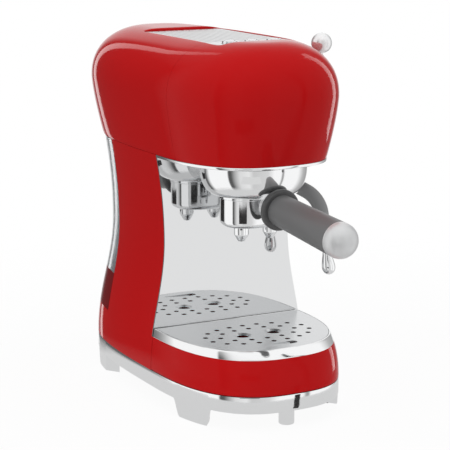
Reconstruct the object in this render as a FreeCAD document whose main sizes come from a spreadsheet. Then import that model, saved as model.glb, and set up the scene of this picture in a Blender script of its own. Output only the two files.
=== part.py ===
"""Slim retro espresso machine, in millimetres, +Z up, front towards -Y.

The origin is the middle of the underside of the round front foot, on the machine's mid-plane.
"""
import math
import os
import re

import FreeCAD
import Part
import Sketcher
from FreeCAD import Vector

doc = FreeCAD.newDocument("espresso_machine")
sheet = doc.addObject("Spreadsheet::Sheet", "sizes")
sheet_rows = []
sub_parts = []


# Driving sizes


def add_sizes(**values):
    """Write each size, or the sum that gives it, in a row of its own, under its own name."""
    for alias, number in values.items():
        sheet_rows.append(alias)
        row = len(sheet_rows)
        sheet.set("A%d" % row, alias)
        sheet.set("B%d" % row, str(number))
        sheet.setAlias("B%d" % row, alias)


# Plan outline of the body: half width, reach in front of and behind the backsplash plane
add_sizes(panel_y=103, base_half=74.5, base_front=118.2, base_rear=176)
add_sizes(waist_half=60, waist_rear=162, waist_height=140)
add_sizes(shoulder_half=67, shoulder_rear=166, front_power=2.68, rear_power=3.2)
add_sizes(tray_lean=12.3, tray_lean_power=2.6)
# Heights of the main joints
add_sizes(skirt_bottom=15.1, skirt_top=29, tray_red_top=58, tray_top=65, deck_top=58)
add_sizes(head_bottom=214, head_wide=266, head_top=311)
# Head: half width and reaches at its rim, its widest level and its top
add_sizes(head_half=75, head_half_top=22, head_half_drop=8)
add_sizes(head_front=111, head_front_top=70, head_front_drop=11)
add_sizes(head_rear=183, head_rear_top=132, head_rear_drop=13)
add_sizes(head_power=2.2, head_drop_power=1.4, head_seam=33)
# Walls and clearances
add_sizes(wall=3, tray_wall=2.5, gap=0.4, running=0.06, tray_back=0.8, panel_thick=1.5)
# Feet
add_sizes(foot_radius=6.5, foot_width=10, pad_height=1.5)
add_sizes(front_foot_start=81, front_foot_end=49, rear_foot_start=105, rear_foot_end=125)
# Drip grid
add_sizes(grid_thick=1.5, rim_lip=1.2, grid_ledge=5, grid_centre=54.5, hole_radius=2.25)
add_sizes(well_radius=7.5, well_drain=5, well_offset=14.7, outer_holes_x=47, outer_holes_y=27.2)
add_sizes(inner_holes_x=35.5, inner_holes_y=16.4, holes_power=2.3)
add_sizes(slot_half=16, slot_depth=7, slot_reach=91.8, slot_slope=2.2, finger_radius=3)
# Tank
add_sizes(bulkhead=101, tank_split=91.5, tank_gap=0.5, tank_top_gap=0.5)
add_sizes(outlet_x=30, outlet_z=75, outlet_radius=5, coupling_radius=11, coupling_length=18)
# Brew group and portafilter
add_sizes(group_reach=45.5, bowl_top=211.3, bowl_bottom=184, bowl_gap=3)
add_sizes(bowl_bottom_radius=33, bowl_wall=2.5, cup_radius=31.5, cup_inner=28.5, cup_top=205)
add_sizes(cup_floor=187.5, ring_outer=39.5, ring_inner=36, ring_bottom=194, gasket_outer=33.5)
add_sizes(bowl_radius="=ring_outer + bowl_gap + bowl_wall")
add_sizes(screen_radius=26, screen_bottom=207, screen_thick=1.2, gasket_bottom=206.7)
add_sizes(gasket_top=211, group_top=232, flange_radius=45, flange_thick=4)
add_sizes(lug_inner=32.3, lug_bottom=195, lug_thick=3.4, ear_outer=35.4, ear_bottom=198.8)
add_sizes(ear_thick=3.7, basket_radius=27.9, basket_flange=31, basket_thick=0.8)
add_sizes(block_half=28.5, block_depth=21, block_bottom=157, block_round=5, block_power=2.4)
add_sizes(tip_offset=13.6, tip_reach=4.5, tip_radius=6.3, tip_end_radius=2.9)
add_sizes(tip_length=12, tip_straight=7, tip_bore=2.4, drain_radius=4)
# Handle, measured along its own axis from the group axis
add_sizes(handle_height=180.7, handle_droop=5, neck_start=31, neck_radius=10.5, neck_end=41)
add_sizes(collar_radius=17.2, collar_thick=7, grip_start_radius=13, grip_end_radius=14.3)
add_sizes(grip_end=134, cap_length=17, bolt_radius=4)
# Steam lever
add_sizes(lever_y=8, lever_z=262, boss_start=76.2, boss_end=83, boss_radius=9, arm_radius=3.5)
add_sizes(arm_end_radius=2.6, ball_x=86, ball_reach=11, ball_z=301.4, ball_radius=9)
add_sizes(stem_radius=4, stem_start=56.3, valve_start=40, valve_end=66, valve_half=10)
# Steam arm, in its own plane through the socket axis
add_sizes(socket_x=46, socket_reach=12, socket_radius=10, socket_bottom=191.5)
add_sizes(wand_ball_radius=8, wand_ball_z=188, wand_turn=-56, wand_slope=23, wand_drop=81)
add_sizes(wand_run=26.5, wand_bend=24, wand_fall=29, sleeve_radius=6.2, pipe_radius=3)
add_sizes(pipe_bore=1.6, sleeve_start=10.5, nozzle_length=24, nozzle_radius=5.9)
# Cup plate and buttons
add_sizes(plate_half=37.5, plate_front=55, plate_rear=86, plate_top=308.6, plate_thick=3)
add_sizes(plate_corner=6, ledge_width=4, ledge_bottom=303, button_offset=20.7)
add_sizes(button_reach=42.6, button_radius=6.2, button_top=310.8, button_flange=7.8)
add_sizes(button_stem=3, button_stem_bottom=294)
add_sizes(board_bottom=285, board_thick=1.6, switch_top=292, carrier_thick=3)
# Works inside
add_sizes(pump_y=42, pump_bottom=90, pump_top=168, pump_tube=9, coil_half=22, coil_depth=18)
add_sizes(coil_bottom=106, coil_top=150, mount_radius=15, arm_thick=2)
add_sizes(lower_arm=97, upper_arm=157, bracket_back=70, bracket_half=18)
add_sizes(hose_radius=4, hose_bore=2.5, meter_front=30, meter_back=46, meter_half=14)
add_sizes(meter_height=30, block_half_x=46, block_front=12, block_back=82)
add_sizes(heater_bottom=226, heater_top=268, chassis_thick=2.5, brew_pipe_z=246)
add_sizes(screw_radius=2, screw_head=4, screw_head_thick=2.5, screw_length=6)
add_sizes(inlet_half=14, inlet_low=30, inlet_high=53, inlet_depth=22, inlet_flange=20)
doc.recompute()


def size(alias):
    """One driving size as a number."""
    return float(sheet.get(alias))


# Small tools for bound primitives


def bind(thing, prop, text):
    """Bind a property to a sum of named sizes."""
    thing.setExpression(prop, re.sub(r"\b([a-z]\w*)", r"sizes.\1", str(text)))


turns = {
    "up": FreeCAD.Rotation(),
    "right": FreeCAD.Rotation(Vector(0, 1, 0), 90),
    "front": FreeCAD.Rotation(Vector(1, 0, 0), 90),
}


def place(thing, x, y, z, toward="up"):
    """Stand a piece at a bound place, with its own axis up, to the right or to the front."""
    thing.Placement = FreeCAD.Placement(Vector(), turns[toward])
    bind(thing, "Placement.Base.x", x)
    bind(thing, "Placement.Base.y", y)
    bind(thing, "Placement.Base.z", z)
    return thing


def rod(name, radius, length, x, y, z, toward="up"):
    """A round bar from a point along one direction."""
    thing = doc.addObject("Part::Cylinder", name)
    bind(thing, "Radius", radius)
    bind(thing, "Height", length)
    return place(thing, x, y, z, toward)


def block(name, across, deep, high, x, y, z):
    """A box from its lowest corner."""
    thing = doc.addObject("Part::Box", name)
    bind(thing, "Length", across)
    bind(thing, "Width", deep)
    bind(thing, "Height", high)
    return place(thing, x, y, z)


def joined(name, *pieces):
    """Several solids made one."""
    thing = doc.addObject("Part::MultiFuse", name)
    thing.Shapes = list(pieces)
    return thing


def less(name, base, *tools):
    """A solid with others taken away from it."""
    thing = doc.addObject("Part::Cut", name)
    thing.Base = base
    thing.Tool = tools[0] if len(tools) == 1 else joined(name + "_tools", *tools)
    return thing


def sub_part(thing):
    """Count a document object as one piece of the machine."""
    sub_parts.append(thing)
    return thing


def shaped(name, shape):
    """A free-form piece whose shape follows a formula."""
    thing = doc.addObject("Part::Feature", name)
    thing.Shape = shape
    thing.Placement = shape.Placement
    return sub_part(thing)


def turned(name, profile, x, y, z, toward="up"):
    """A turned body: (radius, height) corners in order round its half section."""
    body = doc.addObject("PartDesign::Body", name)
    plane = [one for one in body.Origin.OriginFeatures if one.Role == "XZ_Plane"][0]
    sketch = body.newObject("Sketcher::SketchObject", name + "_section")
    sketch.AttachmentSupport = (plane, [""])
    sketch.MapMode = "FlatFace"
    numbers = [(total(radius), total(height)) for radius, height in profile]
    count = len(numbers)
    for index in range(count):
        here = Vector(*numbers[index], 0)
        there = Vector(*numbers[(index + 1) % count], 0)
        sketch.addGeometry(Part.LineSegment(here, there), False)
    for index in range(count):
        sketch.addConstraint(Sketcher.Constraint("Coincident", index, 2, (index + 1) % count, 1))
    for index, (radius, height) in enumerate(profile):
        for kind, text, number in zip(("DistanceX", "DistanceY"), (radius, height), numbers[index]):
            row = sketch.addConstraint(Sketcher.Constraint(kind, -1, 1, index, 1, number))
            bind(sketch, "Constraints[%d]" % row, text)
    revolution = body.newObject("PartDesign::Revolution", name + "_turn")
    revolution.Profile = sketch
    revolution.ReferenceAxis = (sketch, ["V_Axis"])
    revolution.Angle = 360
    place(body, x, y, z, toward)
    return body


def total(text):
    """The number that a sum of named sizes and plain numbers comes to."""
    amount = 0.0
    for sign, word in re.findall(r"([+-]?)\s*([\w.]+)", str(text)):
        number = float(word) if word[0].isdigit() else size(word)
        amount += -number if sign == "-" else number
    return amount


# Plan outlines and lofted stock


def outline(half, front, rear, height, inset=0.0):
    """Closed plan curve: a superellipse in front of the backsplash plane and another behind it."""
    half, front, rear = half - inset, front - inset, rear - inset
    steps = 72
    points = []
    for step in range(steps):
        angle = 2 * math.pi * step / steps
        across, along = abs(math.cos(angle)), abs(math.sin(angle))
        behind = step <= steps // 2
        power = size("rear_power") if behind else size("front_power")
        reach = rear if behind else front
        radius = ((across / half) ** power + (along / reach) ** power) ** (-1 / power)
        points.append(
            Vector(radius * math.cos(angle), size("panel_y") + radius * math.sin(angle), height)
        )
    curve = Part.BSplineCurve()
    curve.interpolate(points, True)
    return Part.Wire([curve.toShape()])


def body_flare(height):
    """Share of the way from the waist to the foot (below) or to the shoulder (above)."""
    if height < size("waist_height"):
        drop = (size("waist_height") - height) / (size("waist_height") - size("skirt_top"))
        return (1 - math.cos(math.pi * min(drop, 1.0))) / 2
    rise = (height - size("waist_height")) / (size("head_bottom") - size("waist_height"))
    return rise**2


def body_section(height, inset=0.0):
    """Plan curve of the body below the head at one height."""
    below = height < size("waist_height")
    share = body_flare(height)
    half = size("waist_half") + share * (
        size("base_half" if below else "shoulder_half") - size("waist_half")
    )
    rear = size("waist_rear") + share * (
        size("base_rear" if below else "shoulder_rear") - size("waist_rear")
    )
    tray_share = max(height - size("skirt_top"), 0) / (size("tray_top") - size("skirt_top"))
    front = size("base_front") - size("tray_lean") * min(tray_share, 1.0) ** size("tray_lean_power")
    return outline(half, front, rear, height, inset)


def body_stock(low, high, inset=0.0, sections=7):
    """Solid body between two heights, drawn in by an inset."""
    heights = [low + (high - low) * step / (sections - 1) for step in range(sections)]
    return Part.makeLoft([body_section(height, inset) for height in heights], True)


def head_section(height, true_height, inset=0.0):
    """Plan curve of the head: swelling from the rim to its widest level, then rounding to the top."""
    if true_height < size("head_wide"):
        share = (size("head_wide") - true_height) / (size("head_wide") - size("head_bottom"))
        drop = share ** size("head_drop_power")
        spans = [
            size(name) - drop * size(name + "_drop") for name in ("head_half", "head_front", "head_rear")
        ]
    else:
        rise = (true_height - size("head_wide")) / (size("head_top") - size("head_wide"))
        power = size("head_power")
        share = max(1 - rise**power, 0.0) ** (1 / power)
        spans = []
        for name in ("head_half", "head_front", "head_rear"):
            low = size(name + "_top")
            spans.append(low + share * (size(name) - low))
    return outline(*spans, height, inset)


def head_stock(inset=0.0):
    """Solid head, with its top lowered by the inset too."""
    shares = (0.0, 0.17, 0.35, 0.53, 0.70, 0.83, 0.91, 0.96, 0.99, 1.0)
    low, top, wide = size("head_bottom"), size("head_top"), size("head_wide")
    sections = []
    for share in shares:
        true_height = low + share * (top - low)
        height = true_height
        if true_height > wide:
            height = wide + (true_height - wide) * (top - inset - wide) / (top - wide)
        sections.append(head_section(height, true_height, inset))
    return Part.makeLoft(sections, True)


def slab(x_low, x_high, y_low, y_high, z_low, z_high):
    """A box between limits, its Y limits counted from the backsplash plane."""
    corner = Vector(x_low, size("panel_y") + y_low, z_low)
    return Part.makeBox(x_high - x_low, y_high - y_low, z_high - z_low, corner)


seat = 0.3
wide = 200.0
far = 400.0
wall = size("wall")
gap = size("gap")
skirt_bottom = size("skirt_bottom")
skirt_top = size("skirt_top")
tray_back = size("tray_back")
head_bottom = size("head_bottom")


# Base: chrome skirt, plate inside it, shelf under the tray, feet


def base_ring(low, high, inset):
    """The straight-sided plan of the skirt between two heights."""
    wires = [
        outline(size("base_half"), size("base_front"), size("base_rear"), height, inset)
        for height in (low, high)
    ]
    return Part.makeLoft(wires, True, True)


shaped("base_skirt", base_ring(skirt_bottom, skirt_top, 0).cut(base_ring(skirt_bottom, skirt_top, wall)))
base_holes = [(x, y) for x in (-45, 45) for y in (30, 135)]
base_plate = base_ring(skirt_bottom, skirt_bottom + wall, wall)
for x, y in base_holes:
    hole = Part.makeCylinder(size("screw_radius"), wall, Vector(x, size("panel_y") + y, skirt_bottom))
    base_plate = base_plate.cut(hole)
shaped("base_plate", base_plate)
shelf = base_ring(skirt_top - wall, skirt_top, wall + seat)
shaped("tray_shelf", shelf.common(slab(-wide, wide, -far, -tray_back, 0, far)))
sub_part(rod("front_foot", "foot_radius", "skirt_bottom", 0, 0, 0))


def side_foot(side, start, end):
    """A foot under the skirt, following its curve, with its pad left off below."""
    ring = base_ring(size("pad_height"), skirt_bottom, 0.8)
    ring = ring.cut(base_ring(size("pad_height"), skirt_bottom, size("foot_width")))
    x_low, x_high = (-wide, 0) if side < 0 else (0, wide)
    return ring.common(slab(x_low, x_high, start, end, 0, far))


def side_pad(side, start, end):
    """The rubber pad under a side foot."""
    ring = base_ring(0, size("pad_height"), 1.6).cut(
        base_ring(0, size("pad_height"), size("foot_width") - 1)
    )
    x_low, x_high = (-wide, 0) if side < 0 else (0, wide)
    return ring.common(slab(x_low, x_high, start + 1, end - 1, 0, far))


foot_spans = (
    (-size("front_foot_start"), -size("front_foot_end")),
    (size("rear_foot_start"), size("rear_foot_end")),
)
feet = []
pads = []
for start, end in foot_spans:
    for side in (-1, 1):
        feet += side_foot(side, start, end).Solids
        pads += side_pad(side, start, end).Solids
shaped("side_feet", Part.makeCompound(feet))
shaped("foot_pads", Part.makeCompound(pads))


# Lower body, column and backsplash

deck_top = size("deck_top")
bulkhead = size("bulkhead")
lower_outer = body_stock(skirt_top, deck_top)
lower_inner = body_stock(skirt_top, deck_top, wall).common(
    slab(-wide, wide, wall - tray_back, far, 0, deck_top - wall)
)
lower = lower_outer.cut(lower_inner).common(slab(-wide, wide, -tray_back, far, 0, far))
lower = lower.cut(slab(-16, 40, 25, 60, deck_top - wall, deck_top))
inlet_box = (size("inlet_flange"), size("inlet_low"), size("inlet_high"))
inlet_face = size("base_rear") - 3.5
inlet_start = inlet_face - size("inlet_depth")
lower = lower.cut(slab(-inlet_box[0], inlet_box[0], inlet_start, far, inlet_box[1], inlet_box[2]))
for x, y in base_holes:
    foot = Vector(x, size("panel_y") + y, skirt_bottom + wall)
    boss = Part.makeCylinder(6, deck_top - wall - foot.z, foot)
    lower = lower.fuse(boss)
    lower = lower.cut(Part.makeCylinder(size("screw_radius"), size("screw_length"), foot))
shaped("lower_body", lower)

column_outer = body_stock(deck_top, head_bottom, 0, 9)
column_inner = body_stock(deck_top, head_bottom, wall, 9)
panel_thick = size("panel_thick")
column = column_outer.common(slab(-wide, wide, panel_thick, bulkhead, 0, far))
column = column.cut(column_inner.common(slab(-wide, wide, 0, bulkhead - wall, 0, far)))
column_place = Vector(size("outlet_x"), size("panel_y") + bulkhead - wall, size("outlet_z"))
column = column.cut(Part.makeCylinder(size("coupling_radius") - 2, wall, column_place, Vector(0, 1, 0)))
boss_height = 16.0
boss_radius = 5.0
chassis_holes = [(x, bulkhead - 8.0) for x in (-40, 40)] + [(x, 8.0) for x in (-40, 40)]
for x, y in chassis_holes:
    corner = Vector(x, size("panel_y") + y, head_bottom - boss_height)
    boss = Part.makeCylinder(boss_radius, boss_height, corner)
    web = slab(min(x, 2 * x), max(x, 2 * x), y - 3, y + 3, head_bottom - boss_height, head_bottom)
    column = column.fuse(boss).fuse(web.common(column_outer))
    thread = Vector(corner.x, corner.y, head_bottom - size("screw_length"))
    column = column.cut(Part.makeCylinder(size("screw_radius"), size("screw_length"), thread))
shaped("column_shell", column)
shaped("backsplash", column_outer.common(slab(-wide, wide, 0, panel_thick, 0, far)))


# Head: two covers, chrome rim, floor and chassis

head_outer = head_stock()
shell = head_outer.cut(head_stock(wall))
plate_half = size("plate_half")
plate_front = size("plate_front")
plate_rear = size("plate_rear")
plate_bottom = size("plate_top") - size("plate_thick")
ledge = size("ledge_width")
frame_box = slab(
    -plate_half - ledge, plate_half + ledge, -plate_front - ledge, plate_rear + ledge, size("ledge_bottom"), far
)
shell = shell.fuse(head_outer.common(frame_box))
fit = 0.2


def plate_stock(low, high, grow):
    """The cup plate's plan: square at the back, rounded at the front corners."""
    stock = slab(-plate_half - grow, plate_half + grow, -plate_front - grow, plate_rear + grow, low, high)
    front_edges = []
    for edge in stock.Edges:
        first, last = edge.Vertexes[0].Point, edge.Vertexes[-1].Point
        upright = abs(first.z - last.z) > 1
        if upright and first.y < size("panel_y"):
            front_edges.append(edge)
    return stock.makeFillet(size("plate_corner"), front_edges)


shell = shell.cut(plate_stock(plate_bottom, far, fit))
shell = shell.cut(
    slab(
        -plate_half + ledge, plate_half - ledge, -plate_front + ledge, plate_rear - ledge, head_bottom, far
    )
)
lever_hole = Part.makeCylinder(
    size("stem_radius") + 0.6,
    20,
    Vector(size("head_half") - 15, size("panel_y") - size("lever_y"), size("lever_z")),
    Vector(1, 0, 0),
)
seam = -size("head_seam")
shaped("head_front_cover", shell.common(slab(-wide, wide, -far, seam, 0, far)))
shaped("head_rear_cover", shell.common(slab(-wide, wide, seam, far, 0, far)).cut(lever_hole))


def rim_ring(low, high, inset):
    """The head's rim outline between two heights."""
    wires = [head_section(height, head_bottom, inset) for height in (low, high)]
    return Part.makeLoft(wires, True, True)


rim_low = size("bowl_top") + gap
before_panel = slab(-wide, wide, -far, 0, 0, far)
rim = rim_ring(rim_low, head_bottom, -0.4).cut(rim_ring(rim_low, head_bottom, wall))
shaped("head_rim", rim.common(before_panel))
group_y = size("panel_y") - size("group_reach")
socket_y = size("panel_y") - size("socket_reach")
floor = rim_ring(rim_low, head_bottom, wall).common(before_panel)
floor = floor.cut(Part.makeCylinder(size("ring_outer"), 20, Vector(0, group_y, rim_low - 5)))
floor = floor.cut(
    Part.makeCylinder(size("socket_radius"), 20, Vector(size("socket_x"), socket_y, rim_low - 5))
)
bolt_angles = (45, 135, 225, 315)
bolt_circle = (size("ring_outer") + size("flange_radius")) / 2


def group_bolt_place(angle, height):
    """A point on the bolt circle of the group's flange."""
    turn = math.radians(angle)
    return Vector(bolt_circle * math.cos(turn), group_y + bolt_circle * math.sin(turn), height)


for angle in bolt_angles:
    floor = floor.cut(Part.makeCylinder(size("screw_radius"), 20, group_bolt_place(angle, rim_low - 5)))
shaped("head_floor", floor)
chassis_top = head_bottom + size("chassis_thick")
chassis = head_stock(wall + 2 * seat).common(slab(-wide, wide, 0, far, head_bottom, chassis_top))
chassis = chassis.cut(slab(-30, 30, size("pump_y") - 12, size("pump_y") + 12, 0, far))
for x, y in chassis_holes:
    spot = Vector(x, size("panel_y") + y, head_bottom)
    chassis = chassis.cut(Part.makeCylinder(size("screw_radius"), size("chassis_thick"), spot))
shaped("chassis_plate", chassis)


# Cup plate on top, three buttons, board under them

plate = plate_stock(plate_bottom, size("plate_top"), 0)
button_places = {"button_single": -1, "button_double": 0, "button_steam": 1}
button_y = size("panel_y") - size("button_reach")
for side in button_places.values():
    spot = Vector(side * size("button_offset"), button_y, plate_bottom - 5)
    plate = plate.cut(Part.makeCylinder(size("button_radius") + gap, 20, spot))
shaped("cup_plate", plate)
carrier_top = size("ledge_bottom")
carrier_low = carrier_top - size("carrier_thick")
board_top = size("board_bottom") + size("board_thick")
carrier = slab(-plate_half, plate_half, -plate_front, -size("head_seam") + 6, carrier_low, carrier_top)
legs = [
    (x, y) for x in (-plate_half + 4, plate_half - 4) for y in (-plate_front + 4, -size("head_seam") + 2)
]
for x, y in legs:
    post = Part.makeCylinder(3, carrier_low - board_top, Vector(x, size("panel_y") + y, board_top))
    carrier = carrier.fuse(post)
for side in button_places.values():
    spot = Vector(side * size("button_offset"), button_y, carrier_low - 1)
    carrier = carrier.cut(Part.makeCylinder(size("button_flange") + 1, 20, spot))
shaped("board_carrier", carrier)
board = slab(-plate_half, plate_half, -plate_front, -size("head_seam") + 6, size("board_bottom"), board_top)
switches = [
    slab(side * size("button_offset") - 4, side * size("button_offset") + 4, -size("button_reach") - 4,
         -size("button_reach") + 4, board_top, size("switch_top"))
    for side in button_places.values()
]
shaped("control_board", board.fuse(switches))
for name, side in button_places.items():
    profile = [
        (0, "button_stem_bottom"),
        ("button_stem", "button_stem_bottom"),
        ("button_stem", "plate_top - plate_thick - gap - 2"),
        ("button_flange", "plate_top - plate_thick - gap - 2"),
        ("button_flange", "plate_top - plate_thick - gap"),
        ("button_radius", "plate_top - plate_thick - gap"),
        ("button_radius", "button_top - 0.8"),
        ("button_radius - 0.8", "button_top"),
        (0, "button_top"),
    ]
    sign = {-1: "0 - button_offset", 0: "0", 1: "button_offset"}[side]
    sub_part(turned(name, profile, sign, "panel_y - button_reach", 0))


# Brew group: body with bayonet lugs, gasket, shower screen, screw and bolts


def ring_sector(inner, outer, low, thick, middle, spread):
    """A piece of a ring round the group axis."""
    ring = Part.makeCylinder(outer, thick, Vector(0, group_y, low), Vector(0, 0, 1), spread)
    ring = ring.cut(Part.makeCylinder(inner, thick, Vector(0, group_y, low)))
    ring.rotate(Vector(0, group_y, 0), Vector(0, 0, 1), middle - spread / 2)
    return ring


group_profile = [
    (0, "screen_bottom + screen_thick"),
    ("screen_radius + 0.5", "screen_bottom + screen_thick"),
    ("screen_radius + 0.5", "gasket_top"),
    ("gasket_outer", "gasket_top"),
    ("gasket_outer", "cup_top"),
    ("ring_inner", "cup_top"),
    ("ring_inner", "ring_bottom"),
    ("ring_outer", "ring_bottom"),
    ("ring_outer", "head_bottom"),
    ("flange_radius", "head_bottom"),
    ("flange_radius", "head_bottom + flange_thick"),
    ("ring_outer - 3", "head_bottom + flange_thick"),
    ("ring_outer - 6", "group_top"),
    (0, "group_top"),
]
group_stock = turned("group_stock", group_profile, 0, "panel_y - group_reach", 0)
doc.recompute()
group = group_stock.Shape.copy()
lug_angles = (90, 210, 330)
for angle in lug_angles:
    group = group.fuse(
        ring_sector(
            size("lug_inner"), size("ring_inner") + 1, size("lug_bottom"), size("lug_thick"), angle, 40
        )
    )
for angle in bolt_angles:
    group = group.cut(Part.makeCylinder(size("screw_radius"), 20, group_bolt_place(angle, head_bottom)))
screen_top = size("screen_bottom") + size("screen_thick")
group = group.cut(
    Part.makeCylinder(size("screw_radius"), size("screw_length"), Vector(0, group_y, screen_top))
)
group = group.cut(slab(-size("flange_radius"), size("flange_radius"), 0, 20, 0, far))
shaped("group_body", group)
gasket_profile = [
    ("screen_radius + 0.5", "gasket_bottom"),
    ("gasket_outer", "gasket_bottom"),
    ("gasket_outer", "gasket_top"),
    ("screen_radius + 0.5", "gasket_top"),
]
sub_part(turned("group_gasket", gasket_profile, 0, "panel_y - group_reach", 0))
screen_stock = rod(
    "screen_stock", "screen_radius", "screen_thick", 0, "panel_y - group_reach", "screen_bottom"
)
screen_hole = rod(
    "screen_hole", "screw_radius", "screen_thick", 0, "panel_y - group_reach", "screen_bottom"
)
sub_part(less("shower_screen", screen_stock, screen_hole))


def screw_shape(spot, down):
    """A pan-head screw whose head meets the surface at a point and whose shank goes into it."""
    into = Vector(0, 0, -1) if down else Vector(0, 0, 1)
    head = Part.makeCylinder(size("screw_head"), size("screw_head_thick"), spot, into * -1)
    return head.fuse(Part.makeCylinder(size("screw_radius"), size("screw_length"), spot, into))


screws = [screw_shape(Vector(0, group_y, size("screen_bottom")), False)]
screws += [
    screw_shape(group_bolt_place(angle, head_bottom + size("flange_thick")), True) for angle in bolt_angles
]
screws += [screw_shape(Vector(x, size("panel_y") + y, skirt_bottom), False) for x, y in base_holes]
screws += [screw_shape(Vector(x, size("panel_y") + y, chassis_top), True) for x, y in chassis_holes]
shaped("machine_screws", Part.makeCompound(screws))


# Portafilter: bowl with a cup and ears inside, basket, spout block, tips


def bowl_curve(radius_top, radius_low, low, top, steps=9):
    """Corners of the bowl's quarter-round side, from its foot up to its straight brim."""
    corners = []
    for step in range(steps):
        turn = math.pi / 2 * step / (steps - 1)
        radius = radius_low + (radius_top - radius_low) * math.sin(turn)
        corners.append((radius, low + (top - low) * (1 - math.cos(turn))))
    return corners


brim_low = size("bowl_bottom") + 22
wall_now = size("bowl_wall")
outer_side = bowl_curve(size("bowl_radius"), size("bowl_bottom_radius"), size("bowl_bottom"), brim_low)
inner_side = bowl_curve(
    size("bowl_radius") - wall_now, size("cup_radius") + 1, size("bowl_bottom") + wall_now + 2, brim_low + 1
)


def spline_edge(corners):
    """A smooth edge through (radius, height) corners in the XZ half plane."""
    curve = Part.BSplineCurve()
    curve.interpolate([Vector(radius, 0, height) for radius, height in corners])
    return curve.toShape()


def polyline_edges(corners):
    """Straight edges through (radius, height) corners in the XZ half plane."""
    points = [Vector(radius, 0, height) for radius, height in corners]
    return [Part.makeLine(first, last) for first, last in zip(points, points[1:])]


bowl_edges = [spline_edge(outer_side)]
bowl_edges += polyline_edges([
    outer_side[-1],
    (size("bowl_radius"), size("bowl_top")),
    (size("bowl_radius") - wall_now, size("bowl_top")),
    inner_side[-1],
])
bowl_edges.append(spline_edge(inner_side))
bowl_edges += polyline_edges([
    inner_side[0],
    (size("cup_radius"), inner_side[0][1]),
    (size("cup_radius"), size("cup_top")),
    (size("cup_inner"), size("cup_top")),
    (size("cup_inner"), size("cup_floor")),
    (0, size("cup_floor")),
    (0, size("bowl_bottom")),
    outer_side[0],
])
bowl_face = Part.Face(Part.Wire(Part.__sortEdges__(bowl_edges)))
bowl = bowl_face.revolve(Vector(), Vector(0, 0, 1), 360)
bowl.translate(Vector(0, group_y, 0))
for angle in lug_angles:
    bowl = bowl.fuse(
        ring_sector(
            size("cup_radius") - 1, size("ear_outer"), size("ear_bottom"), size("ear_thick"), angle, 34
        )
    )
bowl = bowl.cut(Part.makeCylinder(size("drain_radius"), 20, Vector(0, group_y, size("bowl_bottom") - 5)))
handle_turn = FreeCAD.Rotation(Vector(1, 0, 0), 90 + size("handle_droop"))
handle_root = Vector(0, group_y, size("handle_height"))
handle_way = handle_turn.multVec(Vector(0, 0, 1))


def handle_point(along):
    """A point on the handle's axis."""
    return handle_root + handle_way * along


def block_outline(height, grow):
    """Rounded plan of the spout block."""
    points = []
    steps = 48
    for step in range(steps):
        angle = 2 * math.pi * step / steps
        power = size("block_power")
        across = abs(math.cos(angle)) / (size("block_half") - grow)
        along = abs(math.sin(angle)) / (size("block_depth") - grow)
        radius = (across**power + along**power) ** (-1 / power)
        points.append(Vector(radius * math.cos(angle), group_y + radius * math.sin(angle), height))
    curve = Part.BSplineCurve()
    curve.interpolate(points, True)
    return Part.Wire([curve.toShape()])


block_low = size("block_bottom")
block_round = size("block_round")
block_rings = []
for step in range(6):
    turn = math.pi / 2 * step / 5
    block_rings.append(
        block_outline(block_low + block_round * (1 - math.cos(turn)), block_round * (1 - math.sin(turn)))
    )
foot_of_block = Part.makeLoft(block_rings, True)
straight_block = Part.makeLoft(
    [block_outline(block_low + block_round, 0), block_outline(size("bowl_bottom"), 0)], True, True
)
spout_block = foot_of_block.fuse(straight_block)
tip_y = group_y - size("tip_reach")
channel_low = block_low + 9
channel = Part.makeBox(
    2 * size("tip_offset") + 6, size("tip_reach") + 8, 6, Vector(
        -size("tip_offset") - 3, tip_y - 4, channel_low
    )
)
spout_block = spout_block.cut(channel)
spout_block = spout_block.cut(
    Part.makeCylinder(size("drain_radius"), 40, Vector(0, group_y, channel_low + 3))
)
for side in (-1, 1):
    spot = Vector(side * size("tip_offset"), tip_y, block_low - 1)
    spout_block = spout_block.cut(Part.makeCylinder(size("tip_bore"), 12, spot))
neck = Part.makeCylinder(
    size("neck_radius"), size("neck_end") - size("neck_start") + 12, handle_point(size("neck_start") - 12), handle_way
)
neck = neck.cut(bowl_face.revolve(Vector(), Vector(0, 0, 1), 360).translated(Vector(0, group_y, 0)))
neck = neck.cut(foot_of_block.fuse(straight_block))
neck = neck.cut(Part.makeCylinder(size("cup_inner") - 2, 40, Vector(0, group_y, size("bowl_bottom"))))
neck_solids = sorted(neck.Solids, key=lambda solid: -solid.Volume)
neck = neck_solids[0]
bolt = Part.makeCylinder(
    size("bolt_radius"), size("grip_end") - size("neck_end") + 4, handle_point(size("neck_end") - 6), handle_way
)
shaped("portafilter_body", bowl)
shaped("spout_block", spout_block)
tips = []
for side in (-1, 1):
    spot = Vector(side * size("tip_offset"), tip_y, block_low - size("tip_length"))
    point = size("tip_length") - size("tip_straight")
    tip = Part.makeCone(size("tip_end_radius"), size("tip_radius"), point, spot)
    tip = tip.fuse(Part.makeCylinder(size("tip_radius"), size("tip_straight"), spot + Vector(0, 0, point)))
    tips.append(tip.cut(Part.makeCylinder(size("tip_bore"), size("tip_length"), spot)))
shaped("spout_tips", Part.makeCompound(tips))
basket_profile = [
    (0, "cup_floor + gap"),
    ("basket_radius - 2", "cup_floor + gap"),
    ("basket_radius", "cup_floor + gap + 3"),
    ("basket_radius", "cup_top"),
    ("basket_flange", "cup_top"),
    ("basket_flange", "cup_top + basket_thick"),
    ("basket_radius - basket_thick", "cup_top + basket_thick"),
    ("basket_radius - basket_thick", "cup_floor + gap + 3"),
    ("basket_radius - 2 - basket_thick", "cup_floor + gap + basket_thick"),
    (0, "cup_floor + gap + basket_thick"),
]
sub_part(turned("filter_basket", basket_profile, 0, "panel_y - group_reach", 0))
shaped("portafilter_neck", neck.cut(bolt))


# Handle: collar, grip, end cap and the bolt through them


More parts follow.
